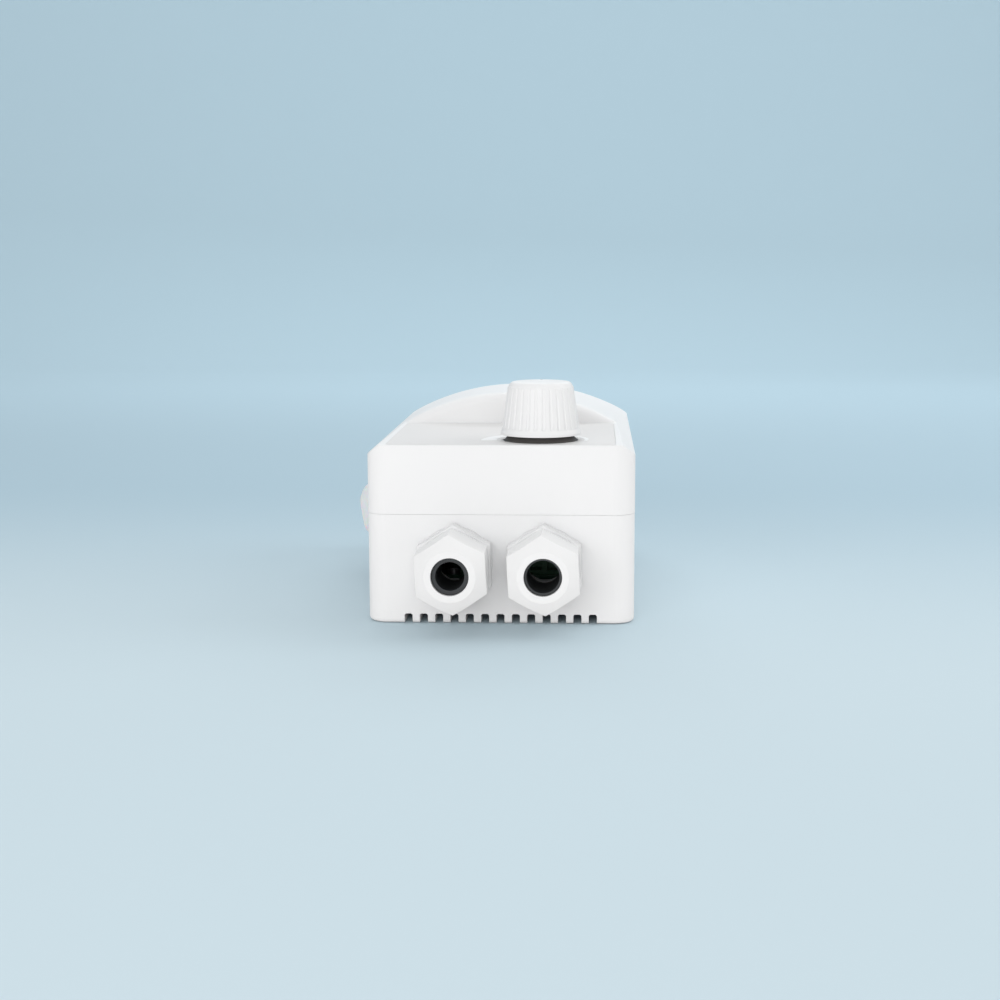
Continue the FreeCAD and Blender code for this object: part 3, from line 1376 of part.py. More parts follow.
def make_heat_sink_fins():
    """Upright fins pressed into the plate, clear of its screws at both ends."""
    fins = []
    for index in range(round(number("sink_fin_count"))):
        left = f"-sink_half_width + {index} * (2 * sink_half_width - sink_fin) / (sink_fin_count - 1)"
        fins.append(block(f"sink_fin_{index}", left, f"{left} + sink_fin", "sink_near + sink_ledge",
                          "sink_far - sink_tail", SINK_TOP, "sink_top"))
    return node(group("HeatSinkFins", fins), "heat_sink_fins")


def make_heat_sink_screws():
    screws = [screw_shape(f"sink_screw_{index}", x, y, SINK_TOP, "sink_pilot_radius", "sink_screw_length",
                          "sink_screw_head", "sink_screw_head_height")
              for index, (x, y) in enumerate(SINK_SPOTS)]
    return node(group("HeatSinkScrews", screws), "heat_sink_screws")


TRIAC_NEAR = "(sink_near + triac_gap)"
TRIAC_TAB_NEAR = f"({TRIAC_NEAR} + triac_length)"
TRIAC_HOLE_Y = f"({TRIAC_TAB_NEAR} + triac_tab_length / 2)"


def make_triac():
    """A flat power package on the heat sink with three legs bent down to the board."""
    half = "triac_width / 2"
    package = block("triac_package", f"triac_x - {half}", f"triac_x + {half}",
                    TRIAC_NEAR, TRIAC_TAB_NEAR, SINK_TOP, f"{SINK_TOP} + triac_thickness")
    tab = block("triac_tab_blank", f"triac_x - {half}", f"triac_x + {half}", f"{TRIAC_TAB_NEAR} - 1",
                f"{TRIAC_TAB_NEAR} + triac_tab_length", SINK_TOP, f"{SINK_TOP} + triac_tab")
    level = f"({SINK_TOP} + triac_thickness / 2)"
    end = "(board_far - 2)"
    legs = []
    for index in (-1, 0, 1):
        left = f"triac_x + {index} * triac_leg_pitch - triac_leg / 2"
        legs.append(block(f"triac_leg_{index + 1}", left, f"{left} + triac_leg", end, f"{TRIAC_NEAR} + 1",
                          f"{level} - triac_leg / 2", f"{level} + triac_leg / 2"))
        legs.append(block(f"triac_foot_{index + 1}", left, f"{left} + triac_leg", end, f"{end} + triac_leg",
                          BOARD_TOP, f"{level} + triac_leg / 2"))
    hole = rod("triac_hole_cut", "triac_hole", "20", "triac_x", TRIAC_HOLE_Y, "sink_level")
    return node(minus("Triac", fused("triac_solid", package, tab, *legs), hole), "triac")


def make_triac_screw():
    screw = screw_shape("TriacScrew", "triac_x", TRIAC_HOLE_Y, f"{SINK_TOP} + triac_tab",
                        "triac_screw_radius", "triac_screw_length", "triac_screw_head",
                        "triac_screw_head_height")
    return node(screw, "triac_screw")


# Inner leads

def bent_path(points):
    """Straight runs joined by tangent arcs, each arc as large as its two runs allow."""
    edges = []
    start = points[0]
    for index in range(1, len(points) - 1):
        before, corner, after = points[index - 1], points[index], points[index + 1]
        incoming = (corner - before).normalize()
        outgoing = (after - corner).normalize()
        turn = incoming.getAngle(outgoing)
        cut = 0.45 * min(corner.distanceToPoint(before), corner.distanceToPoint(after))
        radius = cut / math.tan(turn / 2)
        first = corner - incoming * cut
        last = corner + outgoing * cut
        bisector = (outgoing - incoming).normalize()
        middle = corner + bisector * (radius / math.cos(turn / 2) - radius)
        edges.append(Part.LineSegment(start, first).toShape())
        edges.append(Part.Arc(first, middle, last).toShape())
        start = last
    edges.append(Part.LineSegment(start, points[-1]).toShape())
    return Part.Wire(edges)


def lead(points):
    """A round lead along a route of points."""
    path = bent_path(points)
    radius = number("lead_radius")
    rim = Part.Wire(Part.Circle(points[0], points[1] - points[0], radius).toShape())
    solid = path.makePipeShell([rim], True, False)
    expected = math.pi * radius ** 2 * path.Length
    if abs(solid.Volume - expected) > 0.02 * expected:
        raise ValueError("a lead's volume is off")
    return solid


def spot(x, y, z):
    return FreeCAD.Vector(number(x), number(y), number(z))


def make_leads(name, label, routes):
    thing = doc.addObject("Part::Feature", name)
    thing.Shape = Part.makeCompound([lead(route) for route in routes])
    return node(thing, label)


def make_potentiometer_leads():
    """Three leads that hang from the lugs and drop to the board."""
    routes = []
    lug_under = f"{POT_TOP} - pot_depth + 2"
    y = "(knob_y + pot_radius + pot_lug_length - lead_solder_inset)"
    for index in (-1, 0, 1):
        x = f"knob_x + {index} * pot_lug_pitch"
        foot_x = f"lead_foot_x + {index} * lead_foot_pitch"
        routes.append([spot(x, y, lug_under), spot(x, y, f"{lug_under} - lead_drop"),
                       spot(foot_x, "lead_foot_y", f"{BOARD_TOP} + lead_rise"),
                       spot(foot_x, "lead_foot_y", BOARD_TOP)])
    return make_leads("PotentiometerLeads", "potentiometer_leads", routes)


def make_switch_leads():
    """Four leads from the blades to the board, midway between the blades and the filter capacitor."""
    routes = []
    blade_end = f"(-({BASE_X}) + switch_depth + blade_length)"
    for across in (-1, 1):
        for along in (-1, 1):
            y = f"(switch_y + {across} * blade_spread)"
            z = f"(switch_z + {along} * blade_rise)"
            foot_x = f"(({blade_end} + filter_x - filter_length / 2) / 2 + {along} * switch_lead_spread)"
            foot_y = f"(board_far - switch_lead_end + {across} * switch_lead_spread)"
            routes.append([spot(blade_end, y, z), spot(foot_x, y, z),
                           spot(foot_x, foot_y, f"({z} + {BOARD_TOP}) / 2"), spot(foot_x, foot_y, BOARD_TOP)])
    return make_leads("SwitchLeads", "switch_leads", routes)


make_rear_housing()
make_front_cover()
make_label()
make_gasket()
make_cover_screws()
make_cover_caps()
for side, x in GLANDS.items():
    make_gland_body(side, x)
    make_gland_washer(side, x)
    make_locknut(side, x)
    make_gland_nut(side, x)
    make_gland_seal(side, x)
make_knob()
make_grub_screw()
make_knob_seal()
make_potentiometer()
make_potentiometer_shaft()
make_potentiometer_washer()
make_potentiometer_nut()
make_switch_body()
make_rocker()
make_boot()
make_switch_terminals()
make_board()
make_board_screws()
make_terminal_block()
make_terminal_screws()
make_fuse()
make_fuse_holder()
make_choke()
make_capacitors()
make_resistors()
make_trimmer()
make_heat_sink()
make_heat_sink_fins()
make_heat_sink_screws()
make_triac()
make_triac_screw()
make_potentiometer_leads()
make_switch_leads()
doc.recompute()

for thing in doc.Objects:
    if "Invalid" in thing.State or "Error" in thing.State:
        raise ValueError(f"{thing.Label} failed: {thing.State}")
for thing in NODES:
    if thing.Shape.isNull() or not thing.Shape.isValid() or not thing.Shape.Solids:
        raise ValueError(f"{thing.Label} has no valid solid")

os.makedirs("parts", exist_ok=True)
for thing in NODES:
    thing.Shape.exportStep(f"parts/{thing.Label}.step")
    box = thing.Shape.BoundBox
    print(f"{thing.Label}: {len(thing.Shape.Solids)} solids, {thing.Shape.Volume:.0f} mm3, "
          f"X {box.XMin:.1f} to {box.XMax:.1f}, Y {box.YMin:.1f} to {box.YMax:.1f}, "
          f"Z {box.ZMin:.1f} to {box.ZMax:.1f}")
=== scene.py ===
import math

import bmesh
import bpy
from mathutils import Matrix, Vector


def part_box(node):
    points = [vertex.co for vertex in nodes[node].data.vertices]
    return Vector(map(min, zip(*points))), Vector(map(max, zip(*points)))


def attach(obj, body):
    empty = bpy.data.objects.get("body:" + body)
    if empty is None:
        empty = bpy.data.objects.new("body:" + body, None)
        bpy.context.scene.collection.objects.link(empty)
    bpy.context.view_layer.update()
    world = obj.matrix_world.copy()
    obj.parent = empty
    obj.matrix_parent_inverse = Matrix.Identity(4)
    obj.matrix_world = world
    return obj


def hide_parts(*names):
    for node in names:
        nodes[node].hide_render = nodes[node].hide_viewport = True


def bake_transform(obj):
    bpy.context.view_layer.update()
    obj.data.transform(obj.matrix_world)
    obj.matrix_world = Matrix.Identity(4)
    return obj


# Looks for the fan speed controller: a white plastic case on its back, seen from its cable glands.

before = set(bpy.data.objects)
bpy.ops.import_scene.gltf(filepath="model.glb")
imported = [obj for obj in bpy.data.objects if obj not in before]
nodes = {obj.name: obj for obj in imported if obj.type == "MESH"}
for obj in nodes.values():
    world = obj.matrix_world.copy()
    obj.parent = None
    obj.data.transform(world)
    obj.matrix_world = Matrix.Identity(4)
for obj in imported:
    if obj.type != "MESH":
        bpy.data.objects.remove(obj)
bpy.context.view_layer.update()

PANEL_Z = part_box("dial_label")[1].z
KNOB_LOW, KNOB_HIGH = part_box("speed_knob")
KNOB_CENTRE = (KNOB_LOW + KNOB_HIGH) / 2
BOOT_LOW, BOOT_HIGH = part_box("side_switch_boot")
CASE_LOW, CASE_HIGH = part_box("rear_housing")


# Materials

COLOR_PATCHES = 14
GLOSS_PATCHES = 60
GLOSS_SPREAD = 0.05
GRAIN_STRENGTH = 0.5
TOOL_LINES = 300
TOOL_MARK_DEPTH = 0.00001
TOOL_MARK_STRENGTH = 0.4
METAL_EDGE = 0.0002
METAL_POLISH = 0.08
METAL_DULLING = 0.1
RAMP_ENDS = (0.3, 0.7)


def shader(name, color, roughness, **sockets):
    """A new node material; other sockets of its surface shader are given by name."""
    material = bpy.data.materials.new(name)
    material.use_nodes = True
    surface = material.node_tree.nodes["Principled BSDF"]
    surface.inputs["Base Color"].default_value = (*color, 1)
    surface.inputs["Roughness"].default_value = roughness
    for socket, value in sockets.items():
        surface.inputs[socket.replace("_", " ")].default_value = value
    return material, surface


def add_node(material, kind, **values):
    node = material.node_tree.nodes.new(kind)
    for name, value in values.items():
        if name in node.inputs:
            node.inputs[name].default_value = value
        else:
            setattr(node, name, value)
    return node


def link(material, source, target):
    material.node_tree.links.new(source, target)


def noise(material, scale, detail=2.0, stretch=(1, 1, 1)):
    """A noise in the object's own metres, so its grain has a real size."""
    place = add_node(material, "ShaderNodeTexCoord")
    mapping = add_node(material, "ShaderNodeMapping", Scale=stretch)
    texture = add_node(material, "ShaderNodeTexNoise", Scale=scale, Detail=detail)
    link(material, place.outputs["Object"], mapping.inputs["Vector"])
    link(material, mapping.outputs["Vector"], texture.inputs["Vector"])
    return texture.outputs["Fac"]


def vary_color(material, surface, factor, low, high):
    ramp = add_node(material, "ShaderNodeValToRGB")
    for stop, position, color in zip(ramp.color_ramp.elements, RAMP_ENDS, (low, high)):
        stop.position = position
        stop.color = (*color, 1)
    link(material, factor, ramp.inputs["Fac"])
    link(material, ramp.outputs["Color"], surface.inputs["Base Color"])


def vary_roughness(material, surface, factor, low, high):
    spread = add_node(material, "ShaderNodeMapRange")
    spread.inputs["To Min"].default_value = low
    spread.inputs["To Max"].default_value = high
    link(material, factor, spread.inputs["Value"])
    link(material, spread.outputs["Result"], surface.inputs["Roughness"])


def add_bump(material, surface, factor, distance, strength=1.0, edge=None):
    """Fine relief, over softened edges where an edge radius is given."""
    bump = add_node(material, "ShaderNodeBump", Strength=strength, Distance=distance)
    link(material, factor, bump.inputs["Height"])
    if edge:
        bevel = add_node(material, "ShaderNodeBevel", samples=4, Radius=edge)
        link(material, bevel.outputs["Normal"], bump.inputs["Normal"])
    link(material, bump.outputs["Normal"], surface.inputs["Normal"])


def moulded(name, color, roughness, grain=1800, relief=0.00002, edge=0.0003, spread=0.01, **sockets):
    """Moulded plastic or rubber: a fine grain, slightly uneven gloss and softened edges."""
    material, surface = shader(name, color, roughness, **sockets)
    low = tuple(max(0, part - spread) for part in color)
    high = tuple(min(1, part + spread) for part in color)
    vary_color(material, surface, noise(material, COLOR_PATCHES), low, high)
    vary_roughness(material, surface, noise(material, GLOSS_PATCHES, detail=4),
                   roughness - GLOSS_SPREAD, roughness + GLOSS_SPREAD)
    add_bump(material, surface, noise(material, grain, detail=3), relief, GRAIN_STRENGTH, edge)
    return material


def metal(name, color, roughness, stretch=(1, 1, 40)):
    """Machined metal with faint lines along one direction."""
    material, surface = shader(name, color, roughness, Metallic=1)
    lines = noise(material, TOOL_LINES, detail=3, stretch=stretch)
    vary_roughness(material, surface, lines, roughness - METAL_POLISH, roughness + METAL_DULLING)
    add_bump(material, surface, lines, TOOL_MARK_DEPTH, TOOL_MARK_STRENGTH, METAL_EDGE)
    return material


WHITE = (0.85, 0.85, 0.852)
PAINT = {
    "case": moulded("case_plastic", WHITE, 0.45, grain=2600, relief=0.00001, edge=0.0001,
                    Specular_IOR_Level=0.25),
    "knob": moulded("knob_plastic", (0.83, 0.83, 0.832), 0.42, relief=0.00001, edge=0.0002,
                    Specular_IOR_Level=0.25),
    "gland": moulded("gland_nylon", (0.84, 0.84, 0.84), 0.4, relief=0.00001, edge=0.0004,
                     Specular_IOR_Level=0.25),
    "label": moulded("label_film", (0.745, 0.735, 0.73), 0.55, grain=3500, relief=0.00001, spread=0.006,
                     Specular_IOR_Level=0.25),
    "print": moulded("label_print", (0.9, 0.9, 0.9), 0.45, grain=3500, relief=0.000005),
    "gland_rubber": moulded("gland_rubber", (0.032, 0.032, 0.033), 0.5, grain=1200, relief=0.00004),
    "gasket": moulded("white_gasket", (0.78, 0.78, 0.78), 0.6),
    # Dark grey seal ring under the knob: partly a real rubber seal, partly painted shade that stands in for
    # the shadowed gap under the knob's skirt.
    "knob_rubber": moulded("knob_rubber", (0.074, 0.066, 0.062), 0.6),
    "black": moulded("black_plastic", (0.02, 0.02, 0.021), 0.4),
    "rocker": moulded("rocker_plastic", (0.8, 0.8, 0.8), 0.25, relief=0.000005),
    "board": moulded("board_lacquer", (0.014, 0.09, 0.042), 0.3, grain=700),
    "terminal": moulded("terminal_nylon", (0.03, 0.13, 0.055), 0.4),
    "capacitor": moulded("capacitor_case", (0.5, 0.36, 0.05), 0.3),
    "resistor": moulded("resistor_lacquer", (0.32, 0.42, 0.45), 0.35),
    "trimmer": moulded("trimmer_case", (0.03, 0.1, 0.4), 0.4),
    "lead": moulded("lead_insulation", (0.35, 0.03, 0.025), 0.45),
    "winding": moulded("enamelled_wire", (0.5, 0.17, 0.05), 0.25, grain=900, relief=0.0002),
    "ferrite": moulded("ferrite", (0.03, 0.03, 0.032), 0.6),
    "steel": metal("zinc_steel", (0.6, 0.6, 0.62), 0.35),
    "brass": metal("brass", (0.72, 0.52, 0.24), 0.32),
    "aluminium": metal("extruded_aluminium", (0.72, 0.73, 0.75), 0.35, stretch=(40, 1, 1)),
    "glass": moulded("fuse_glass", (0.85, 0.9, 0.9), 0.08, relief=0, Transmission_Weight=0.9),
}


def silicone():
    """Milky see-through silicone for the boot over the side switch."""
    material, surface = shader("boot_silicone", (0.87, 0.86, 0.88), 0.35, Transmission_Weight=0.15,
                               Subsurface_Weight=0.5, Subsurface_Scale=0.003, IOR=1.41)
    vary_roughness(material, surface, noise(material, scale=80, detail=3), low=0.25, high=0.4)
    add_bump(material, surface, noise(material, scale=900, detail=2), distance=0.00003, strength=0.4)
    return material


PAINT["silicone"] = silicone()

NODE_PAINT = {
    "rear_housing": "case", "front_cover": "case", "dial_label": "label", "cover_gasket": "gasket",
    "cover_screws": "steel", "cover_caps": "case", "speed_knob": "knob", "knob_seal": "knob_rubber",
    "knob_grub_screw": "steel", "potentiometer_body": "black", "potentiometer_shaft": "steel",
    "potentiometer_washer": "steel", "potentiometer_nut": "brass", "potentiometer_leads": "lead",
    "side_switch_body": "black", "side_switch_rocker": "rocker", "side_switch_boot": "silicone",
    "side_switch_terminals": "brass", "switch_leads": "lead", "circuit_board": "board",
    "board_screws": "steel", "terminal_block": "terminal", "terminal_screws": "steel",
    "fuse_link": "glass", "fuse_holder": "brass", "choke_winding": "winding", "choke_core": "ferrite",
    "filter_capacitor": "capacitor", "timing_capacitors": "capacitor", "resistors": "resistor",
    "trimmer_body": "trimmer", "trimmer_dial": "knob", "heat_sink": "aluminium",
    "heat_sink_fins": "aluminium", "heat_sink_screws": "steel", "triac": "black", "triac_screw": "steel",
}
for side in ("left", "right"):
    NODE_PAINT[f"{side}_gland_body"] = "gland"
    NODE_PAINT[f"{side}_gland_nut"] = "gland"
    NODE_PAINT[f"{side}_gland_locknut"] = "gland"
    NODE_PAINT[f"{side}_gland_washer"] = "gasket"
    NODE_PAINT[f"{side}_gland_seal"] = "gland_rubber"


def paint(piece, name):
    piece.data.materials.clear()
    piece.data.materials.append(PAINT[name])


for name, node in nodes.items():
    paint(node, NODE_PAINT[name])


# Mesh helpers

def mesh_piece(name, verts, faces, paint_name, body, smooth_angle=math.radians(35)):
    mesh = bpy.data.meshes.new(name)
    mesh.from_pydata(verts, [], faces)
    mesh.validate()
    tidy = bmesh.new()
    tidy.from_mesh(mesh)
    bmesh.ops.recalc_face_normals(tidy, faces=tidy.faces)
    tidy.to_mesh(mesh)
    tidy.free()
    piece = bpy.data.objects.new(name, mesh)
    bpy.context.scene.collection.objects.link(piece)
    mesh.shade_smooth()
    mesh.set_sharp_from_angle(angle=smooth_angle)
    paint(piece, paint_name)
    if body:
        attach(piece, body)
    return piece


def strip(name, inner, outer, height, paint_name, body, ring=False):
    """A thin raised band between two rows of points, which meet again where it is a ring."""
    count = len(inner)
    verts = [(x, y, z) for row in (inner, outer) for x, y, z in row]
    verts += [(x, y, z + height) for row in (inner, outer) for x, y, z in row]
    faces = []
    top = 2 * count
    for index in range(count if ring else count - 1):
        a, b = index, (index + 1) % count
        c, d = count + a, count + b
        faces.append((a, c, d, b))
        faces.append((top + a, top + b, top + d, top + c))
        faces.append((a, b, top + b, top + a))
        faces.append((c, top + c, top + d, d))
    if not ring:
        faces.append((0, top, top + count, count))
        faces.append((count - 1, 2 * count - 1, top + 2 * count - 1, top + count - 1))
    return mesh_piece(name, verts, faces, paint_name, body)


# Dial print: a generic wedge that grows with the speed

WEDGE_INNER = 0.0192
WEDGE_THICK = 0.0068
WEDGE_THIN = 0.0012
WEDGE_START = math.radians(187)
WEDGE_SWEEP = math.radians(200)
PRINT_HEIGHT = 0.00006
ARC_STEPS = 72


def dial_point(radius, angle):
    return (KNOB_CENTRE.x + radius * math.cos(angle), KNOB_CENTRE.y + radius * math.sin(angle), PANEL_Z)


def make_wedge():
    inner = []
    outer = []
    for step in range(ARC_STEPS + 1):
        share = step / ARC_STEPS
        angle = WEDGE_START - share * WEDGE_SWEEP
        inner.append(dial_point(WEDGE_INNER, angle))
        outer.append(dial_point(WEDGE_INNER + WEDGE_THICK + share * (WEDGE_THIN - WEDGE_THICK), angle))
    strip("dial_wedge", inner, outer, PRINT_HEIGHT, "print", "case")


make_wedge()


# Lip of the gasket, squeezed outwards into the seam between housing and cover

CORNER_RADIUS = 0.009
SEAM_Z = CASE_HIGH.z
SEAM_GAP = 0.00012
LIP_PLAY = 0.00001
LIP_DEPTHS = (0.00065, 0.00015)
CORNER_STEPS = 12


def seam_row(depth):
    """Points round the case at the seam, at a depth under the housing's wall."""
    left, right, near, far = CASE_LOW.x, CASE_HIGH.x, CASE_LOW.y, CASE_HIGH.y
    reach = CORNER_RADIUS - depth
    row = []
    for quarter, (x, y) in enumerate(((right, far), (left, far), (left, near), (right, near))):
        middle_x = x - math.copysign(CORNER_RADIUS, x)
        middle_y = y - math.copysign(CORNER_RADIUS, y)
        for step in range(CORNER_STEPS + 1):
            angle = (quarter + step / CORNER_STEPS) * math.pi / 2
            row.append((middle_x + reach * math.cos(angle), middle_y + reach * math.sin(angle),
                        SEAM_Z + LIP_PLAY))
    return row


def make_gasket_lip():
    inner, outer = (seam_row(depth) for depth in LIP_DEPTHS)
    strip("gasket_lip", inner, outer, SEAM_GAP - 2 * LIP_PLAY, "gasket", "case", ring=True)


make_gasket_lip()


# Silicone boot over the side switch, a soft cap that is raised where the rocker pushes from inside

BOOT_SEGMENTS = 64
BOOT_RINGS = 18
BOOT_MIDDLE = (BOOT_LOW + BOOT_HIGH) / 2
BOOT_HALF_HEIGHT = 0.0127
BOOT_HALF_WIDTH = 0.0083
BOOT_WALL = 0.0011
FLANGE_HALF_HEIGHT = 0.0128
FLANGE_HALF_WIDTH = 0.0096
FLANGE_THICKNESS = 0.0018
BOOT_PEAK = (0.0040, 0.01535)
BOOT_DIP = (-0.0074, 0.0138)
BOOT_TOP_SHOULDER = 0.0129
BOOT_LOW_SHOULDER = 0.0126
BOOT_SQUARENESS = 7.0
CAP_SQUARENESS = 5.0
FLANGE_SQUARENESS = 9.0
FLANGE_ROUND = 0.0004
TOP_FALL = 1.5
LOW_FALL = 1.1
BOOT_SMOOTH_ANGLE = math.radians(60)


def boot_outline(half_height, half_width, angle, power):
    """A point of a rounded rectangle, as height and width from its middle."""
    across, up = math.cos(angle), math.sin(angle)
    radius = (abs(across) ** power + abs(up) ** power) ** (-1 / power)
    return half_height * up * radius, half_width * across * radius


def boot_reach(height, wall):
    """How far the cap stands out over the flange's back at a height, rounded over its two humps."""
    peak_height, peak = BOOT_PEAK
    dip_height, dip = BOOT_DIP
    if height > peak_height:
        share = (height - peak_height) / (BOOT_HALF_HEIGHT - peak_height)
        reach = peak + (BOOT_TOP_SHOULDER - peak) * share ** TOP_FALL
    elif height > dip_height:
        share = (peak_height - height) / (peak_height - dip_height)
        eased = share * share * (3 - 2 * share)
        reach = peak + (dip - peak) * (share + eased) / 2
    else:
        share = (dip_height - height) / (BOOT_HALF_HEIGHT + dip_height)
        reach = dip + (BOOT_LOW_SHOULDER - dip) * share ** LOW_FALL
    return reach - wall


def boot_rings(wall):
    """Rings from the foot of the cap to its top."""
    half_height, half_width = BOOT_HALF_HEIGHT - wall, BOOT_HALF_WIDTH - wall
    rings = []
    for step in range(BOOT_RINGS):
        share = step / BOOT_RINGS
        turn = share * math.pi / 2
        lift = math.sin(turn) ** (2 / BOOT_SQUARENESS)
        draw_in = math.cos(turn) ** (2 / BOOT_SQUARENESS)
        ring = []
        for index in range(BOOT_SEGMENTS):
            angle = 2 * math.pi * index / BOOT_SEGMENTS
            up, across = boot_outline(half_height, half_width, angle, CAP_SQUARENESS)
            up, across = up * draw_in, across * draw_in
            ring.append((boot_reach(up, wall) * lift, across, up))
        rings.append(ring)
    return rings


def flange_ring(half_height, half_width, out):
    ring = []
    for index in range(BOOT_SEGMENTS):
        angle = 2 * math.pi * index / BOOT_SEGMENTS
        up, across = boot_outline(half_height, half_width, angle, FLANGE_SQUARENESS)
        ring.append((out, across, up))
    return ring


def make_boot():
    rings = [flange_ring(BOOT_HALF_HEIGHT - BOOT_WALL, BOOT_HALF_WIDTH - BOOT_WALL, 0.0),
             flange_ring(FLANGE_HALF_HEIGHT, FLANGE_HALF_WIDTH, 0.0),
             flange_ring(FLANGE_HALF_HEIGHT, FLANGE_HALF_WIDTH, FLANGE_THICKNESS - FLANGE_ROUND),
             flange_ring(FLANGE_HALF_HEIGHT - FLANGE_ROUND, FLANGE_HALF_WIDTH - FLANGE_ROUND,
                         FLANGE_THICKNESS)]
    outer = boot_rings(0.0)
    first = 0
    while min(out for out, across, up in outer[first]) <= FLANGE_THICKNESS:
        first += 1
    rings += outer[first:]
    inner = boot_rings(BOOT_WALL)
    back = BOOT_HIGH.x
    verts = []
    faces = []

    def add(points):
        start = len(verts)
        verts.extend((back - out, BOOT_MIDDLE.y + across, BOOT_MIDDLE.z + up) for out, across, up in points)
        return start

    def join(first_ring, second_ring):
        for index in range(BOOT_SEGMENTS):
            following = (index + 1) % BOOT_SEGMENTS
            faces.append((first_ring + index, first_ring + following,
                          second_ring + following, second_ring + index))

    def close(ring, wall):
        top = add([(boot_reach(0.0, wall), 0.0, 0.0)])
        for index in range(BOOT_SEGMENTS):
            faces.append((ring + index, ring + (index + 1) % BOOT_SEGMENTS, top))

    outer_starts = [add(ring) for ring in rings]
    inner_starts = [add(ring) for ring in inner]
    for before, after in zip(outer_starts, outer_starts[1:]):
        join(before, after)
    for before, after in zip(inner_starts, inner_starts[1:]):
        join(before, after)
    join(outer_starts[0], inner_starts[0])
    close(outer_starts[-1], 0.0)
    close(inner_starts[-1], BOOT_WALL)
    boot = mesh_piece("soft_switch_boot", verts, faces, "silicone", body=None,
                      smooth_angle=BOOT_SMOOTH_ANGLE)
    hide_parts("side_switch_boot")
    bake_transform(boot)


make_boot()


# Camera, floor and light

CAMERA_PLACE = Vector((0.0389, -0.8317, 0.1585))
FOCAL_PIXELS = 1735.4
FRAME_PIXELS = 1000
TURN_LEFT = 0.0533
TILT_DOWN = 0.1427
ROLL = -0.0036
SENSOR = 36.0


def make_camera():
    camera = bpy.data.objects.new("camera", bpy.data.cameras.new("camera"))
    bpy.context.scene.collection.objects.link(camera)
    camera.data.sensor_width = SENSOR
    camera.data.lens = SENSOR * FOCAL_PIXELS / FRAME_PIXELS
    camera.data.clip_start = 0.01
    turn = Matrix.Rotation(TURN_LEFT, 4, "Z")
    tilt = Matrix.Rotation(math.pi / 2 - TILT_DOWN, 4, "X")
    roll = Matrix.Rotation(ROLL, 4, "Z")
    camera.matrix_world = Matrix.Translation(CAMERA_PLACE) @ turn @ tilt @ roll
    bpy.context.scene.camera = camera


make_camera()

NEAR_COLOR = (0.585, 0.705, 0.765)
FAR_COLOR = (0.41, 0.553, 0.64)
BACK_COLOR = (0.555, 0.752, 0.865)
NEAR_BLEND = (-0.25, 0.35)
BACK_BLEND = (0.5, 1.9)
BOUNCE_COLOR = (0.88, 0.88, 0.88)


def seen_rays(tree):
    """1 for rays that show the background itself, straight, mirrored or through glass, else 0."""
    rays = tree.nodes.new("ShaderNodeLightPath")
    seen = tree.nodes.new("ShaderNodeMath")
    seen.operation = "MAXIMUM"
    seen_through = tree.nodes.new("ShaderNodeMath")
    seen_through.operation = "MAXIMUM"
    tree.links.new(rays.outputs["Is Camera Ray"], seen.inputs[0])
    tree.links.new(rays.outputs["Is Glossy Ray"], seen.inputs[1])
    tree.links.new(seen.outputs["Value"], seen_through.inputs[0])
    tree.links.new(rays.outputs["Is Transmission Ray"], seen_through.inputs[1])
    return seen_through.outputs["Value"]


def backdrop_material():
    """A pale blue that deepens away from the object; it lights the object as plain grey."""
    material = bpy.data.materials.new("backdrop")
    material.use_nodes = True
    tree = material.node_tree
    surface = tree.nodes["Principled BSDF"]
    surface.inputs["Roughness"].default_value = 0.9
    surface.inputs["Specular IOR Level"].default_value = 0.1
    place = tree.nodes.new("ShaderNodeTexCoord")
    split = tree.nodes.new("ShaderNodeSeparateXYZ")
    blends = []
    for start, end in (NEAR_BLEND, BACK_BLEND):
        depth = tree.nodes.new("ShaderNodeMapRange")
        depth.interpolation_type = "SMOOTHSTEP"
        depth.inputs["From Min"].default_value = start
        depth.inputs["From Max"].default_value = end
        blend = tree.nodes.new("ShaderNodeMixRGB")
        tree.links.new(split.outputs["Y"], depth.inputs["Value"])
        tree.links.new(depth.outputs["Result"], blend.inputs["Fac"])
        blends.append(blend)
    gradient, backing = blends
    gradient.inputs["Color1"].default_value = (*NEAR_COLOR, 1)
    gradient.inputs["Color2"].default_value = (*FAR_COLOR, 1)
    backing.inputs["Color2"].default_value = (*BACK_COLOR, 1)
    choice = tree.nodes.new("ShaderNodeMixRGB")
    choice.inputs["Color1"].default_value = (*BOUNCE_COLOR, 1)
    tree.links.new(place.outputs["Object"], split.inputs["Vector"])
    tree.links.new(gradient.outputs["Color"], backing.inputs["Color1"])
    tree.links.new(seen_rays(tree), choice.inputs["Fac"])
    tree.links.new(backing.outputs["Color"], choice.inputs["Color2"])
    tree.links.new(choice.outputs["Color"], surface.inputs["Base Color"])
    return material


FLOOR_HALF = 3.0
FLOOR_END = 1.4
FLOOR_BEND = 0.6
FLOOR_GAP = 0.0002
BACK_HEIGHT = 2.5
BEND_STEPS = 12


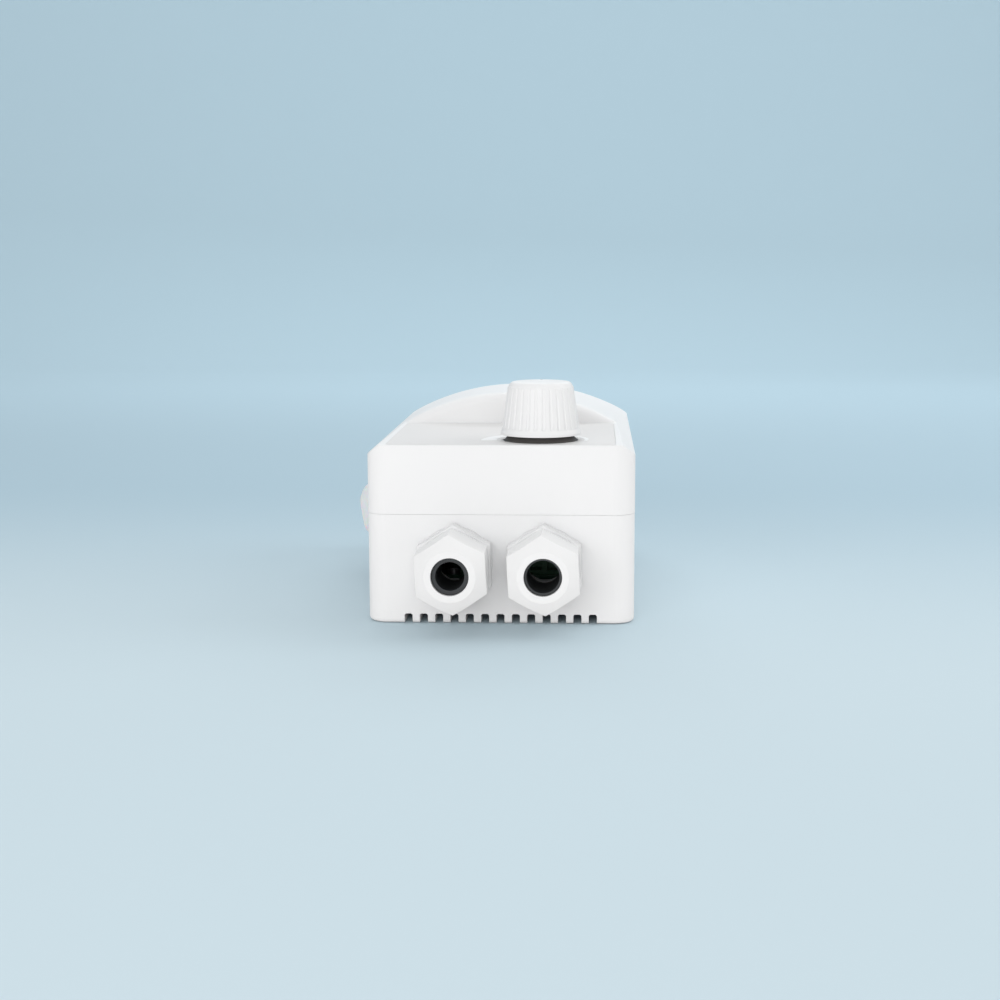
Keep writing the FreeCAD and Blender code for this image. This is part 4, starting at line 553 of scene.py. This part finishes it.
def make_floor():
    """A floor that bends up into a wall behind the object."""
    mesh = bpy.data.meshes.new("floor")
    profile = [(-FLOOR_HALF, 0.0)]
    for step in range(BEND_STEPS + 1):
        angle = math.pi / 2 * step / BEND_STEPS
        profile.append((FLOOR_END + FLOOR_BEND * math.sin(angle), FLOOR_BEND * (1 - math.cos(angle))))
    profile.append((FLOOR_END + FLOOR_BEND, BACK_HEIGHT))
    verts = [(x, y, z) for y, z in profile for x in (-FLOOR_HALF, FLOOR_HALF)]
    faces = [(2 * i, 2 * i + 1, 2 * i + 3, 2 * i + 2) for i in range(len(profile) - 1)]
    mesh.from_pydata(verts, [], faces)
    floor = bpy.data.objects.new("floor", mesh)
    bpy.context.scene.collection.objects.link(floor)
    floor.location.z = CASE_LOW.z - FLOOR_GAP
    mesh.shade_smooth()
    mesh.materials.append(backdrop_material())


make_floor()


def make_lamp(name, place, target, size, power):
    data = bpy.data.lights.new(name, "AREA")
    data.shape = "RECTANGLE"
    data.size, data.size_y = size
    data.energy = power
    lamp = bpy.data.objects.new(name, data)
    bpy.context.scene.collection.objects.link(lamp)
    lamp.location = place
    lamp.rotation_euler = (Vector(target) - Vector(place)).to_track_quat("-Z", "Y").to_euler()


make_lamp("front_softbox", place=(-0.25, -1.4, 0.35), target=(0, -0.1, 0.05), size=(1.2, 0.6), power=7.1)
make_lamp("top_softbox", place=(0.1, 0.3, 1.4), target=(0, 0, 0), size=(1.6, 1.4), power=5.3)
make_lamp("right_softbox", place=(1.3, 0.3, 0.9), target=(0, 0, 0.05), size=(0.9, 0.9), power=4.5)
make_lamp("back_softbox", place=(0.1, 1.3, 0.95), target=(0, 0, 0.08), size=(1.6, 0.5), power=5)

SKY_LIGHT = (0.6, 0.6, 0.6)
SKY_COLOR = (0.44, 0.59, 0.68)


def make_sky():
    """Plain grey light from all round, behind which the background's pale blue goes on."""
    world = bpy.data.worlds.new("studio")
    bpy.context.scene.world = world
    world.use_nodes = True
    tree = world.node_tree
    choice = tree.nodes.new("ShaderNodeMixRGB")
    choice.inputs["Color1"].default_value = (*SKY_LIGHT, 1)
    choice.inputs["Color2"].default_value = (*SKY_COLOR, 1)
    tree.links.new(seen_rays(tree), choice.inputs["Fac"])
    tree.links.new(choice.outputs["Color"], tree.nodes["Background"].inputs["Color"])


make_sky()

bpy.context.scene.view_settings.view_transform = "Standard"
